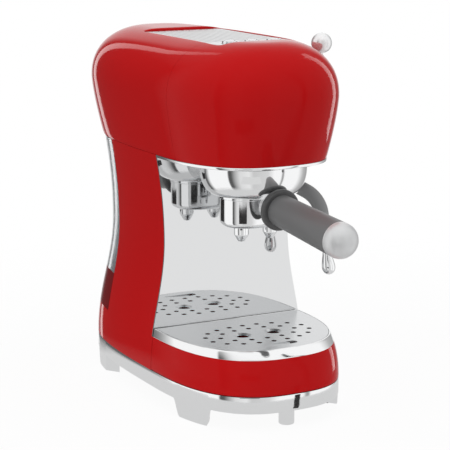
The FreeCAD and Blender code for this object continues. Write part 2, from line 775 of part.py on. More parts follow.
def along_handle(corners):
    """Turn (radius, distance) corners round the handle's axis."""
    wire = Part.makePolygon([Vector(radius, 0, along) for radius, along in corners + corners[:1]])
    solid = Part.Face(wire).revolve(Vector(), Vector(0, 0, 1), 360)
    solid.Placement = FreeCAD.Placement(handle_root, handle_turn)
    return solid


collar_start = size("neck_end")
grip_start = collar_start + size("collar_thick")
grip_end = size("grip_end")
bore = size("bolt_radius")
collar = along_handle([
    (bore, collar_start),
    (size("collar_radius") - 1.5, collar_start),
    (size("collar_radius"), collar_start + 1.5),
    (size("collar_radius"), grip_start - 1.5),
    (size("collar_radius") - 1.5, grip_start),
    (bore, grip_start),
])
collar = collar.cut(bowl_face.revolve(Vector(), Vector(0, 0, 1), 360).translated(Vector(0, group_y, 0)))
shaped("handle_collar", max(collar.Solids, key=lambda solid: solid.Volume))
shaped("handle_grip", along_handle([
    (bore, grip_start),
    (size("grip_start_radius"), grip_start),
    (size("grip_end_radius"), grip_end),
    (bore, grip_end),
]))
cap_corners = [(bore, grip_end), (size("grip_end_radius"), grip_end)]
for step in range(1, 9):
    turn = math.pi / 2 * step / 8
    radius = size("grip_end_radius") * math.cos(turn) if step < 8 else 0.0
    cap_corners.append((radius, grip_end + 3 + (size("cap_length") - 3) * math.sin(turn)))
cap_corners.append((0, grip_end - 2 + size("bolt_radius")))
cap_corners.append((bore, grip_end - 2 + size("bolt_radius")))
shaped("handle_cap", along_handle(cap_corners))
bolt_end = grip_end - 2 + size("bolt_radius")
bolt_start = size("neck_end") - 6
shaped("handle_bolt", Part.makeCylinder(
    size("bolt_radius"), bolt_end - bolt_start, handle_point(bolt_start), handle_way))


# Steam lever on the right, valve and stem inside the head

lever_base = Vector(size("boss_start"), size("panel_y") - size("lever_y"), size("lever_z"))
boss = Part.makeCylinder(
    size("boss_radius"), size("boss_end") - size("boss_start"), lever_base, Vector(1, 0, 0)
)
arm_start = lever_base + Vector((size("boss_end") - size("boss_start")) / 2, 0, 0)
ball_centre = Vector(size("ball_x"), size("panel_y") - size("ball_reach"), size("ball_z"))
arm_way = ball_centre - arm_start
arm = Part.makeCone(size("arm_radius"), size("arm_end_radius"), arm_way.Length, arm_start, arm_way)
ball = Part.makeSphere(size("ball_radius"), ball_centre)
shaped("steam_lever", boss.fuse(arm).cut(ball))
shaped("lever_ball", ball)
sub_part(
    rod(
        "valve_stem", "stem_radius", "boss_start - stem_start", "stem_start", "panel_y - lever_y",
        "lever_z", "right",
    )
)
valve_stock = block(
    "valve_stock", "valve_end - valve_start", "2 * valve_half", "2 * valve_half",
    "valve_start", "panel_y - lever_y - valve_half", "lever_z - valve_half",
)
valve_bore = rod(
    "valve_bore", "stem_radius + running", "valve_end - stem_start + 1", "stem_start - 0.5", "panel_y - lever_y",
    "lever_z", "right",
)
sub_part(less("steam_valve", valve_stock, valve_bore))
feed_pipe = rod(
    "feed_pipe", "pipe_radius", "block_front + lever_y - valve_half", "block_half_x - pipe_radius - 0.5",
    "panel_y + block_front", "lever_z", "front",
)
drop_pipe = rod(
    "drop_pipe", "pipe_radius", "lever_z - valve_half - head_bottom - flange_thick", "socket_x",
    "panel_y - socket_reach", "head_bottom + flange_thick",
)
steam_pipes = doc.addObject("Part::Compound", "steam_pipes")
steam_pipes.Links = [feed_pipe, drop_pipe]
sub_part(steam_pipes)


# Steam arm: socket under the head, ball, pipe, rubber sleeve and nozzle

socket_profile = [
    ("pipe_radius", "wand_ball_z + wand_ball_radius + 1"),
    ("wand_ball_radius", "wand_ball_z + wand_ball_radius + 1"),
    ("wand_ball_radius", "socket_bottom"),
    ("socket_radius", "socket_bottom"),
    ("socket_radius", "head_bottom"),
    ("socket_radius + 1", "head_bottom"),
    ("socket_radius + 1", "head_bottom + flange_thick"),
    ("pipe_radius", "head_bottom + flange_thick"),
]
socket_stock = turned("socket_stock", socket_profile, "socket_x", "panel_y - socket_reach", 0)
doc.recompute()
pivot = Vector(size("socket_x"), socket_y, size("wand_ball_z"))
socket = socket_stock.Shape.cut(Part.makeSphere(size("wand_ball_radius") + size("running"), pivot))
shaped("wand_socket", socket)
slope = math.radians(size("wand_slope"))
drop = math.radians(size("wand_drop"))
bend = size("wand_bend")


def wand_path(start, fall):
    """Path of the arm in its own plane: a gentle run, a bend and a steep fall."""
    way = Vector(math.cos(slope), 0, -math.sin(slope))
    first = way * start
    knee = way * size("wand_run")
    middle = (slope + drop) / 2
    centre = knee + Vector(-math.sin(slope), 0, -math.cos(slope)) * bend

    def on_bend(angle):
        """A point on the bend, where the path slopes down by an angle."""
        return centre + Vector(math.sin(angle), 0, math.cos(angle)) * bend

    low_way = Vector(math.cos(drop), 0, -math.sin(drop))
    elbow = on_bend(drop)
    last = elbow + low_way * fall
    edges = [
        Part.makeLine(first, knee),
        Part.Arc(knee, on_bend(middle), elbow).toShape(),
        Part.makeLine(elbow, last),
    ]
    return Part.Wire(edges), first, way, last, low_way


wand_place = FreeCAD.Placement(pivot, FreeCAD.Rotation(Vector(0, 0, 1), size("wand_turn")))


def wand_tube(radius, start, fall):
    """A round bar along the arm's path."""
    path, first, way, _, _ = wand_path(start, fall)
    ring = Part.Wire([Part.makeCircle(radius, first, way)])
    return path.makePipeShell([ring], True, False)


fall = size("wand_fall")
pipe = wand_tube(size("pipe_radius"), size("wand_ball_radius") - 1, fall + 4)
pipe = pipe.cut(wand_tube(size("pipe_bore"), size("wand_ball_radius") - 1, fall + 4))
wand_ball = Part.makeSphere(size("wand_ball_radius"))
feed_bore = Part.makeCylinder(size("pipe_bore"), 20)
wand_ball = wand_ball.cut(wand_tube(size("pipe_radius"), size("wand_ball_radius") - 1, fall)).cut(feed_bore)
sleeve = wand_tube(size("sleeve_radius"), size("sleeve_start"), fall - 10)
sleeve = sleeve.cut(wand_tube(size("pipe_radius"), size("sleeve_start"), fall - 10))
_, _, _, nozzle_top, nozzle_way = wand_path(0, fall)
nozzle_corners = [
    (size("pipe_radius"), 0.0),
    (size("pipe_radius") + 0.9, 0.0),
    (size("pipe_radius") + 0.9, 3.0),
]
for step in range(9):
    share = step / 8
    swell = math.sin(math.pi * (0.18 + 0.72 * share**0.9))
    nozzle_corners.append((size("nozzle_radius") * swell, 3.2 + (size("nozzle_length") - 3.2) * share))
nozzle_corners += [(0.8, size("nozzle_length")), (0.8, 4.0), (size("pipe_radius"), 4.0)]
nozzle_wire = Part.makePolygon(
    [Vector(radius, 0, along) for radius, along in nozzle_corners + nozzle_corners[:1]]
)
nozzle = Part.Face(nozzle_wire).revolve(Vector(), Vector(0, 0, 1), 360)
nozzle.Placement = FreeCAD.Placement(nozzle_top, FreeCAD.Rotation(Vector(0, 0, 1), nozzle_way))
for name, shape in (
    ("wand_ball", wand_ball), ("wand_pipe", pipe), ("wand_sleeve", sleeve), ("steam_nozzle", nozzle)
):
    shape.Placement = wand_place.multiply(shape.Placement)
    shaped(name, shape.copy())


# Drip tray: red tub, chrome rim, perforated grid

tray_low = skirt_top + gap
red_top = size("tray_red_top")
tray_top = size("tray_top")
tray_wall = size("tray_wall")
tray_end = -tray_back - gap
tray_outer = body_stock(tray_low, red_top, 0, 5).common(slab(-wide, wide, -far, tray_end, 0, far))
tray_inner = body_stock(tray_low, red_top, tray_wall, 5)
tray_inner = tray_inner.common(slab(-wide, wide, -far, tray_end - tray_wall, tray_low + tray_wall, far))
shaped("drip_tray", tray_outer.cut(tray_inner))
grid_low = tray_top - size("grid_thick")
ledge_top = grid_low - gap
rim_outer = body_stock(red_top, tray_top, 0, 4).common(slab(-wide, wide, -far, tray_end, 0, far))
rim_lip = size("rim_lip")
rim_well = body_stock(red_top, tray_top, rim_lip, 4)
rim_well = rim_well.common(slab(-wide, wide, -far, tray_end - rim_lip, ledge_top, far))
rim_mouth = body_stock(red_top, tray_top, size("grid_ledge"), 4)
rim_mouth = rim_mouth.common(slab(-wide, wide, -far, tray_end - size("grid_ledge"), 0, far))
shaped("drip_tray_rim", rim_outer.cut(rim_well).cut(rim_mouth))
grid = body_stock(grid_low, tray_top, rim_lip + gap, 3)
grid = grid.common(slab(-wide, wide, -far, tray_end - rim_lip - gap, 0, far))


def even_points(half_x, half_y, count):
    """Points at even steps along a superellipse, the first on its rear middle."""
    power = 2 / size("holes_power")
    fine = 1440
    curve = []
    for step in range(fine + 1):
        angle = math.pi / 2 - 2 * math.pi * step / fine
        across, along = math.cos(angle), math.sin(angle)
        curve.append((
            half_x * math.copysign(abs(across) ** power, across),
            half_y * math.copysign(abs(along) ** power, along),
        ))
    lengths = [0.0]
    for first, last in zip(curve, curve[1:]):
        lengths.append(lengths[-1] + math.dist(first, last))
    chosen = []
    index = 0
    for step in range(count):
        while lengths[index] < lengths[-1] * step / count:
            index += 1
        chosen.append(curve[index])
    return chosen


grid_y = size("panel_y") - size("grid_centre")
small_holes = even_points(size("outer_holes_x"), size("outer_holes_y"), 18)
small_holes += even_points(size("inner_holes_x"), size("inner_holes_y"), 12)
punches = [
    Part.makeCylinder(size("hole_radius"), 10, Vector(x, grid_y + y, grid_low - 5)) for x, y in small_holes
]
for side in (-1, 1):
    well_spot = Vector(side * size("well_offset"), grid_y, grid_low)
    punches.append(Part.makeCone(size("well_drain"), size("well_radius"), size("grid_thick"), well_spot))
slot_y = size("panel_y") - size("slot_reach")
slot_half = size("slot_half")
slot_radius = size("slot_depth") / 2
slot_end = slot_half - slot_radius
slot_cutter = Part.makeBox(
    2 * slot_end, 2 * slot_radius, 10, Vector(-slot_end, slot_y - slot_radius, tray_top)
)
for side in (-1, 1):
    slot_cutter = slot_cutter.fuse(
        Part.makeCylinder(slot_radius, 10, Vector(side * slot_end, slot_y, tray_top))
    )
slot_cutter = slot_cutter.removeSplitter()
slot_cutter.rotate(Vector(-slot_half, slot_y, tray_top), Vector(0, 1, 0), size("slot_slope"))
punches.append(slot_cutter)
punches.append(Part.makeCylinder(size("finger_radius"), 10, Vector(slot_end, slot_y, grid_low - 5)))
shaped("drip_grid", grid.cut(punches))


# Water tank at the back: see-through vessel, dark base, lid, outlet; coupling and seal in the column

tank_front = bulkhead + size("tank_gap")
tank_low = deck_top + gap
split = size("tank_split")
tank_high = head_bottom - size("tank_top_gap")


def tank_shell(low, high, floor_thick):
    """Tank wall between two heights, with a floor if it has a thickness."""
    outer = body_stock(low, high, 0, 7).common(slab(-wide, wide, tank_front, far, 0, far))
    inner = body_stock(low, high, tray_wall, 7)
    inner = inner.common(slab(-wide, wide, tank_front + tray_wall, far, low + floor_thick, far))
    return outer.cut(inner)


tank_outlet_spot = Vector(size("outlet_x"), size("panel_y") + tank_front + tray_wall, size("outlet_z"))
outlet_hole = Part.makeCylinder(
    size("outlet_radius"), 2 * tray_wall, tank_outlet_spot + Vector(0, tray_wall / 2, 0), Vector(0, -1, 0)
)
shaped("tank_base", tank_shell(tank_low, split, wall).cut(outlet_hole))
shaped("water_tank", tank_shell(split, tank_high, 0))
lid = body_stock(tank_high - wall, tank_high, tray_wall + seat, 3)
lid = lid.common(slab(-wide, wide, tank_front + tray_wall, far, 0, far))
lid = lid.cut(slab(-22, 22, 118, 132, tank_high - wall, far))
shaped("tank_lid", lid)
outlet_length = tray_wall + size("tank_gap") + wall + 6
outlet = Part.makeCylinder(size("outlet_radius"), outlet_length, tank_outlet_spot, Vector(0, -1, 0))
shaped("tank_outlet", outlet.cut(Part.makeCylinder(2.5, outlet_length, tank_outlet_spot, Vector(0, -1, 0))))
coupling_spot = Vector(size("outlet_x"), size("panel_y") + bulkhead - wall, size("outlet_z"))
front_way = Vector(0, -1, 0)
coupling = Part.makeCylinder(size("coupling_radius"), size("coupling_length"), coupling_spot, front_way)
coupling = coupling.cut(Part.makeCylinder(size("outlet_radius") + gap, 8, coupling_spot, front_way))
coupling = coupling.cut(Part.makeCylinder(size("hose_bore"), 30, coupling_spot, front_way))
shaped("tank_coupling", coupling)
seal_spot = Vector(size("outlet_x"), size("panel_y") + bulkhead, size("outlet_z"))
seal = Part.makeCylinder(size("coupling_radius") - 2, wall, seal_spot, front_way)
shaped("tank_seal", seal.cut(Part.makeCylinder(size("outlet_radius") + gap, wall, seal_spot, front_way)))


# Pump, its mounts and bracket, flow meter and hoses in the column


def pump_rod(name, radius, low, high):
    """A round piece on the pump's axis."""
    return rod(name, radius, "%s - %s" % (high, low), 0, "panel_y + pump_y", low)


coil = block(
    "pump_coil", "2 * coil_half", "2 * coil_depth", "coil_top - coil_bottom", "0 - coil_half",
    "panel_y + pump_y - coil_depth", "coil_bottom",
)
pump_tube = pump_rod("pump_tube_bar", "pump_tube", "pump_bottom", "pump_top")
pump_bore = pump_rod("pump_bore", "hose_bore", "pump_bottom", "pump_top")
sub_part(less("pump", joined("pump_stock", coil, pump_tube), pump_bore))
rubbers = []
for arm_name in ("lower_arm", "upper_arm"):
    rubber = rod(arm_name + "_rubber", "mount_radius", "arm_thick", 0, "panel_y + pump_y", arm_name)
    core = rod(arm_name + "_core", "pump_tube", "arm_thick", 0, "panel_y + pump_y", arm_name)
    rubbers.append(less(arm_name + "_mount", rubber, core))
pump_mounts = doc.addObject("Part::Compound", "pump_mounts")
pump_mounts.Links = rubbers
sub_part(pump_mounts)
back_plate = block(
    "bracket_plate", "2 * bracket_half", "arm_thick", "upper_arm + arm_thick - deck_top", "0 - bracket_half",
    "panel_y + bracket_back", "deck_top",
)
arms = []
holes = []
for arm_name in ("lower_arm", "upper_arm"):
    arms.append(block(
        arm_name + "_plate", "2 * bracket_half", "bracket_back - pump_y + mount_radius + 3", "arm_thick",
        "0 - bracket_half", "panel_y + pump_y - mount_radius - 3", arm_name,
    ))
    holes.append(rod(arm_name + "_hole", "mount_radius", "arm_thick", 0, "panel_y + pump_y", arm_name))
tail = block(
    "bracket_tail", "2 * bracket_half", "bulkhead - wall - bracket_back", "arm_thick", "0 - bracket_half",
    "panel_y + bracket_back", "upper_arm",
)
sub_part(less("pump_bracket", joined("bracket_stock", back_plate, tail, *arms), *holes))
meter_stock = block(
    "meter_stock", "2 * meter_half", "meter_back - meter_front", "meter_height", "outlet_x - meter_half",
    "panel_y + meter_front", "deck_top",
)
meter_bore = rod("meter_bore", "hose_bore", "8", "outlet_x", "panel_y + meter_back", "outlet_z", "front")
sub_part(less("flow_meter", meter_stock, meter_bore))
suction_bar = rod(
    "suction_bar", "hose_radius", "bulkhead - wall - coupling_length - meter_back", "outlet_x",
    "panel_y + bulkhead - wall - coupling_length", "outlet_z", "front",
)
suction_bore = rod(
    "suction_bore", "hose_bore", "bulkhead - wall - coupling_length - meter_back", "outlet_x",
    "panel_y + bulkhead - wall - coupling_length", "outlet_z", "front",
)
suction_hose = less("suction_hose", suction_bar, suction_bore)
pump_axis_y = size("panel_y") + size("pump_y")
inlet_height = size("pump_bottom") - 12
meter_side = size("outlet_x") - size("meter_half")


def bent_tube(points, radius, bend_radius):
    """A round bar along straight runs joined by one tangent bend, from three points."""
    first, corner, last = points
    back = (first - corner).normalize()
    ahead = (last - corner).normalize()
    start, end = corner + back * bend_radius, corner + ahead * bend_radius
    centre = start + ahead * bend_radius
    middle = centre + (corner - centre).normalize() * bend_radius
    path = Part.Wire([
        Part.makeLine(first, start),
        Part.Arc(start, middle, end).toShape(),
        Part.makeLine(end, last),
    ])
    ring = Part.Wire([Part.makeCircle(radius, first, corner - first)])
    return path.makePipeShell([ring], True, False)


inlet_route = [
    Vector(meter_side, pump_axis_y, inlet_height),
    Vector(0, pump_axis_y, inlet_height),
    Vector(0, pump_axis_y, size("pump_bottom")),
]
inlet_hose = bent_tube(inlet_route, size("hose_radius"), 9)
inlet_hose = inlet_hose.cut(bent_tube(inlet_route, size("hose_bore"), 9))
pressure_bar = pump_rod("pressure_bar", "hose_radius", "pump_top", "heater_bottom")
pressure_bore = pump_rod("pressure_bore", "hose_bore", "pump_top", "heater_bottom")
pressure_hose = less("pressure_hose", pressure_bar, pressure_bore)
doc.recompute()
shaped("water_hoses", Part.makeCompound([suction_hose.Shape, inlet_hose, pressure_hose.Shape]))


# Thermoblock in the head and the pipe from it to the group

heater = slab(
    -size("block_half_x"), size("block_half_x"), size("block_front"), size("block_back"),
    size("heater_bottom"), size("heater_top"),
)
for x in (-36, 36):
    for y in (24, 64):
        post = Vector(x, size("panel_y") + y, chassis_top)
        heater = heater.fuse(Part.makeCylinder(5, size("heater_bottom") - chassis_top, post))
shaped("thermoblock", heater)
brew_route = [
    Vector(0, size("panel_y") + size("block_front"), size("brew_pipe_z")),
    Vector(0, group_y, size("brew_pipe_z")),
    Vector(0, group_y, size("group_top")),
]
shaped("brew_pipe", bent_tube(brew_route, size("pipe_radius"), 10))


# Power inlet in the lower body's rear wall

inlet = slab(
    -size("inlet_flange"), size("inlet_flange"), inlet_face - 3, inlet_face + 3.5, size("inlet_low"), size(
        "inlet_high"
    )
)
inlet_middle = (size("inlet_low") + size("inlet_high")) / 2
housing = slab(
    -size("inlet_half"), size("inlet_half"), inlet_face - size("inlet_depth"), inlet_face - 3, inlet_middle - 9.5,
    inlet_middle + 9.5,
)
inlet = inlet.fuse(housing)
inlet = inlet.cut(slab(
    -size("inlet_half") + 2, size("inlet_half") - 2, inlet_face - size("inlet_depth") + 4, far, inlet_middle - 7.5,
    inlet_middle + 7.5,
))
pins = [
    slab(
        x - 1, x + 1, inlet_face - size("inlet_depth") + 3, inlet_face - 2, inlet_middle - 2 + up,
        inlet_middle + 2 + up,
    )
    for x, up in ((-7, -1), (0, 2), (7, -1))
]
shaped("power_inlet", inlet.fuse(pins))


# Check every object and write each piece to its own file

doc.recompute()
for thing in doc.Objects:
    states = set(thing.State)
    if states & {"Invalid", "Error"}:
        raise RuntimeError("%s did not recompute: %s" % (thing.Name, thing.State))
for thing in sub_parts:
    if thing.Shape.isNull() or not thing.Shape.isValid():
        raise RuntimeError("%s has no valid shape" % thing.Label)
    if not thing.Shape.Solids:
        raise RuntimeError("%s holds no solid" % thing.Label)
os.makedirs("parts", exist_ok=True)
for thing in sub_parts:
    thing.Shape.exportStep("parts/%s.step" % thing.Label)
    print("%-20s solids %d volume %9.0f" % (thing.Label, len(thing.Shape.Solids), thing.Shape.Volume))
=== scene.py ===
import math

import bmesh
import bpy
import numpy as np
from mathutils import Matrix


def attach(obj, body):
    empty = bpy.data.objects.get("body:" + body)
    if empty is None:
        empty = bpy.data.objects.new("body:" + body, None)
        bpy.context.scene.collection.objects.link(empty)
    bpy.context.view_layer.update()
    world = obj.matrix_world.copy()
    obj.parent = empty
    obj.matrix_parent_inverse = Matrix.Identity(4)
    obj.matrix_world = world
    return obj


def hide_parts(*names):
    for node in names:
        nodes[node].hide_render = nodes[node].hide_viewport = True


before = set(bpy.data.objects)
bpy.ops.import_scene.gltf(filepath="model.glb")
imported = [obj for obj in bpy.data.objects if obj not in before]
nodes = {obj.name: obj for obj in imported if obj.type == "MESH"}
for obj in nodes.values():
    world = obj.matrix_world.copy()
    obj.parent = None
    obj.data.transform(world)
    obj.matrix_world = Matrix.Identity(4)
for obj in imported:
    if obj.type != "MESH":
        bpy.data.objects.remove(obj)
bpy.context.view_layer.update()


# Studio
# A pale floor, grey and white screens all round that the metal mirrors, and broad soft lamps above and
# to both sides. The camera stands at the front left, a little above the machine, with a long lens.

scene = bpy.context.scene
scene.view_settings.view_transform = "Standard"
camera_place, camera_drop, camera_turn = (-0.6691, -1.1416, 0.4375), 0.20207, -0.49188
camera_data = bpy.data.cameras.new("camera")
camera_data.lens = 134.21
camera_data.clip_end = 20.0
camera = bpy.data.objects.new("camera", camera_data)
camera.location = camera_place
camera.rotation_euler = (math.pi / 2 - camera_drop, 0.0, camera_turn)
scene.collection.objects.link(camera)
scene.camera = camera


def add_node(tree, kind, values=None, operation=None):
    """A new shader node with its operation and the values of its sockets set."""
    node = tree.nodes.new("ShaderNode" + kind)
    if operation:
        node.operation = operation
    for socket, value in (values or {}).items():
        node.inputs[socket].default_value = value
    return node


def wire(tree, *links):
    """Join outputs to inputs, each link given as a source, its output, a target and its socket."""
    for source, output, target, socket in links:
        tree.links.new(source.outputs[output], target.inputs[socket])


white, air_level = (1.0, 1.0, 1.0, 1.0), 0.42
world = bpy.data.worlds.new("studio_air")
world.use_nodes = True
scene.world = world
air = world.node_tree
air.nodes.clear()
air_out = add_node(air, "OutputWorld")
air_mix = add_node(air, "MixShader")
air_light = add_node(air, "Background", {"Color": white, "Strength": air_level})
air_seen = add_node(air, "Background", {"Strength": 1.0})
air_way = add_node(air, "TexCoord")
air_split = add_node(air, "SeparateXYZ")
air_turn = add_node(air, "Math", operation="ARCTAN2")
air_share = add_node(air, "MapRange", {"From Min": -math.pi, "From Max": math.pi})
air_bands = add_node(air, "ValToRGB")
air_over = add_node(air, "MapRange", {"From Min": 0.4, "From Max": 0.75})
air_under = add_node(air, "MapRange", {"From Min": -0.8, "From Max": -0.97})
air_blend = add_node(air, "MixRGB", {"Color2": white})
air_path = add_node(air, "LightPath")
air_ends, air_plain, air_either, air_any = (add_node(air, "Math", operation="MAXIMUM") for _ in range(4))
wire(
    air,
    (air_way, "Generated", air_split, 0), (air_split, "Y", air_turn, 0), (air_split, "X", air_turn, 1),
    (air_turn, 0, air_share, "Value"), (air_share, 0, air_bands, 0), (air_split, "Z", air_over, "Value"),
    (air_split, "Z", air_under, "Value"), (air_over, 0, air_ends, 0), (air_under, 0, air_ends, 1),
    (air_ends, 0, air_plain, 0), (air_path, "Is Camera Ray", air_plain, 1),
    (air_plain, 0, air_blend, "Fac"), (air_bands, "Color", air_blend, "Color1"),
    (air_blend, "Color", air_seen, "Color"),
    (air_path, "Is Camera Ray", air_either, 0), (air_path, "Is Glossy Ray", air_either, 1),
    (air_either, 0, air_any, 0), (air_path, "Is Transmission Ray", air_any, 1), (air_any, 0, air_mix, 0),
    (air_light, 0, air_mix, 1), (air_seen, 0, air_mix, 2), (air_mix, 0, air_out, "Surface"),
)
screens = (
    (-176, 1.0), (-173, 0.1), (-167, 0.1), (-158, 0.45), (-148, 0.75), (-128, 0.85), (-118, 0.62),
    (-88, 0.7), (-74, 1.0), (-57, 1.0), (-54.5, 0.35), (-52, 0.35), (-49, 1.0), (-8, 1.0), (14, 0.5),
    (36, 0.35), (46, 1.0), (78, 1.0), (84, 0.12), (118, 0.12), (132, 1.0),
)
stops = air_bands.color_ramp.elements
while len(stops) < len(screens):
    stops.new(0.5)
for stop, (bearing, level) in zip(stops, screens):
    stop.position = (bearing + 180) / 360
    stop.color = (level, level, level, 1.0)


def lamp(name, place, size, power, aim=(0.0, 0.1, 0.2)):
    """A flat soft lamp that faces a point and doesn't show in reflections."""
    data = bpy.data.lights.new(name, "AREA")
    data.shape = "RECTANGLE"
    data.size, data.size_y = size
    data.energy = power
    thing = bpy.data.objects.new(name, data)
    thing.location = place
    way = np.array(aim) - np.array(place)
    turn = math.atan2(-way[0], way[1])
    tilt = math.atan2(math.hypot(way[0], way[1]), -way[2])
    thing.rotation_euler = (tilt, 0.0, turn)
    thing.visible_glossy = False
    scene.collection.objects.link(thing)
    return thing


lamp("top_lamp", (-0.2, -0.3, 1.7), (1.6, 1.6), 11.3)
lamp("left_lamp", (-1.6, -0.4, 0.9), (0.9, 1.4), 6.0)
lamp("right_lamp", (1.6, -0.9, 0.7), (0.7, 1.4), 4.0)
edge_lit = bpy.data.collections.new("edge_lit")


def edge_strip(name, place, size, power):
    """A tall narrow lamp that only shows as a bright line in the red gloss and the tank."""
    strip = lamp(name, place, size, power, (0.0, 0.15, 0.3))
    strip.visible_glossy = True
    strip.visible_diffuse = False
    strip.visible_camera = False
    strip.light_linking.receiver_collection = edge_lit


edge_strip("left_strip", (-0.05, 1.4, 0.55), (0.14, 2.2), 2.2)
edge_strip("right_strip", (1.3, 0.32, 0.6), (0.34, 1.8), 11.0)


def stage_sheet(name, corners):
    """A flat sheet of the stage from its corner points in metres."""
    sheet_mesh = bpy.data.meshes.new(name)
    sheet_mesh.from_pydata(corners, [], [tuple(range(len(corners)))])
    sheet = bpy.data.objects.new(name, sheet_mesh)
    scene.collection.objects.link(sheet)
    return sheet


stage_middle = 0.08


def level_square(reach, height):
    """Corners of a level square round the machine."""
    signs = ((-1, -1), (1, -1), (1, 1), (-1, 1))
    return [(x * reach, stage_middle + y * reach, height) for x, y in signs]


floor_reach, near_reach, near_drop = 0.9, 0.3, 0.0002
floor = stage_sheet("floor", level_square(floor_reach, 0.0))
floor.visible_glossy = False
floor_paint = bpy.data.materials.new("floor_paint")
floor_paint.use_nodes = True
floor_tree = floor_paint.node_tree
floor_tree.nodes.clear()
floor_out = add_node(floor_tree, "OutputMaterial")
floor_path = add_node(floor_tree, "LightPath")
floor_share = add_node(floor_tree, "Math", {1: 0.68, 2: 0.27}, "MULTIPLY_ADD")
floor_matt = add_node(floor_tree, "BsdfDiffuse", {"Color": (0.9, 0.9, 0.9, 1.0)})
floor_white = add_node(floor_tree, "Emission", {"Strength": 1.0})
floor_clear = add_node(floor_tree, "BsdfTransparent")
floor_place = add_node(floor_tree, "TexCoord")
floor_length = add_node(floor_tree, "VectorMath", operation="LENGTH")
floor_fade = add_node(floor_tree, "MapRange", {"From Min": 0.3, "From Max": 0.75})
floor_mix, floor_edge = (add_node(floor_tree, "MixShader") for _ in range(2))
wire(
    floor_tree,
    (floor_path, "Is Camera Ray", floor_share, 0), (floor_share, 0, floor_mix, 0),
    (floor_matt, 0, floor_mix, 1), (floor_white, 0, floor_mix, 2), (floor_place, "Object", floor_length, 0),
    (floor_length, "Value", floor_fade, "Value"), (floor_fade, 0, floor_edge, 0),
    (floor_mix, 0, floor_edge, 1), (floor_clear, 0, floor_edge, 2), (floor_edge, 0, floor_out, "Surface"),
)
floor.data.materials.append(floor_paint)


def plain_paint(name, values):
    """A principled material with the values of its sockets set, and its shader."""
    paint = bpy.data.materials.new(name)
    paint.use_nodes = True
    shader = paint.node_tree.nodes["Principled BSDF"]
    for socket, value in values.items():
        shader.inputs[socket].default_value = value
    return paint, shader


near_floor = stage_sheet("near_floor", level_square(near_reach, -near_drop))
near_floor.visible_camera = False
near_floor.visible_diffuse = False
near_paint, near_shader = plain_paint("near_paint", {
    "Base Color": (0.4, 0.4, 0.4, 1.0), "Roughness": 1.0, "Emission Color": white,
    "Emission Strength": 0.46,
})
near_tree = near_paint.node_tree
near_place = add_node(near_tree, "TexCoord")
near_distance = add_node(near_tree, "VectorMath", {1: (0.0, stage_middle, 0.0)}, "DISTANCE")
near_fade = add_node(near_tree, "MapRange", {"From Min": 0.28, "From Max": 0.2})
wire(
    near_tree,
    (near_place, "Object", near_distance, 0), (near_distance, "Value", near_fade, "Value"),
    (near_fade, 0, near_shader, "Alpha"),
)
near_floor.data.materials.append(near_paint)
flag_paint, _ = plain_paint("flag_paint", {"Base Color": (0.02, 0.02, 0.02, 1.0)})
card_paint, _ = plain_paint("card_paint", {
    "Base Color": (0.0, 0.0, 0.0, 1.0), "Specular IOR Level": 0.0, "Emission Color": white,
    "Emission Strength": 0.72,
})


def only_in_metal(sheet, paint):
    """Paint a sheet of the stage and hide it from everything but reflections."""
    sheet.data.materials.append(paint)
    sheet.visible_camera = False
    sheet.visible_diffuse = False
    sheet.visible_shadow = False


def black_flag(name, place, facing, low, high, width):
    """An upright black strip, square to a bearing in degrees, that only metal shows."""
    x, y = place
    turn = math.radians(facing)
    across, along = -math.sin(turn) * width / 2, math.cos(turn) * width / 2
    corners = ((-1, low), (1, low), (1, high), (-1, high))
    flag = stage_sheet(name, [(x + side * across, y + side * along, height) for side, height in corners])
    only_in_metal(flag, flag_paint)


black_flag("low_flag", (0.018, -0.0438), -59.3, 0.0, 0.03, 0.0055)
black_flag("high_flag", (0.146, -0.192), -59.3, 0.2, 0.32, 0.016)
black_flag("spout_flag", (-0.1855, -0.2393), -122.0, 0.06, 0.112, 0.2)
# A pale card under the bowl hides the spout's flag from it.
card_axis, card_height = 0.0575, 0.186
card_corners = []
for bearing, reach in ((-137, 0.066), (-107, 0.066), (-107, 0.125), (-137, 0.125)):
    card_turn = math.radians(bearing)
    card_corners.append((reach * math.cos(card_turn), card_axis + reach * math.sin(card_turn), card_height))
only_in_metal(stage_sheet("bowl_card", card_corners), card_paint)


# Base skirt and side feet
# A bright chromed band closes the base all round. Its lower edge drops into four feet, two a side,
# each on a soft rubber pad, and it is screwed to the black floor plate from below.

mm = 0.001
merge_reach = 2e-6
panel_y = 103.0
base_spans = base_half, base_front, base_rear = 74.5, 118.2, 176.0
front_power, rear_power = 2.68, 3.2


def superellipse(angle, half, reach, power):
    """Plan points at polar angles about the backsplash plane, from a half width, a reach and a power."""
    across, along = np.abs(np.cos(angle)), np.abs(np.sin(angle))
    radius = ((across / half) ** power + (along / reach) ** power) ** (-1 / power)
    return radius * np.cos(angle), panel_y + radius * np.sin(angle)


def outline(angle, half, front, rear):
    """Plan of the body: a superellipse with one power before the backsplash plane, another behind it."""
    behind = np.sin(angle) >= 0
    power = np.where(behind, rear_power, front_power)
    return superellipse(angle, half, np.where(behind, rear, front), power)


def at_height(x, y, height):
    """Points of one row from its plan and its height."""
    return np.stack([x, y, height + 0 * x], axis=-1)


def plan_row(angle, spans, inset, height):
    """One row of the body's plan, drawn in by an inset, at a height."""
    return at_height(*outline(angle, *(span - inset for span in spans)), height)


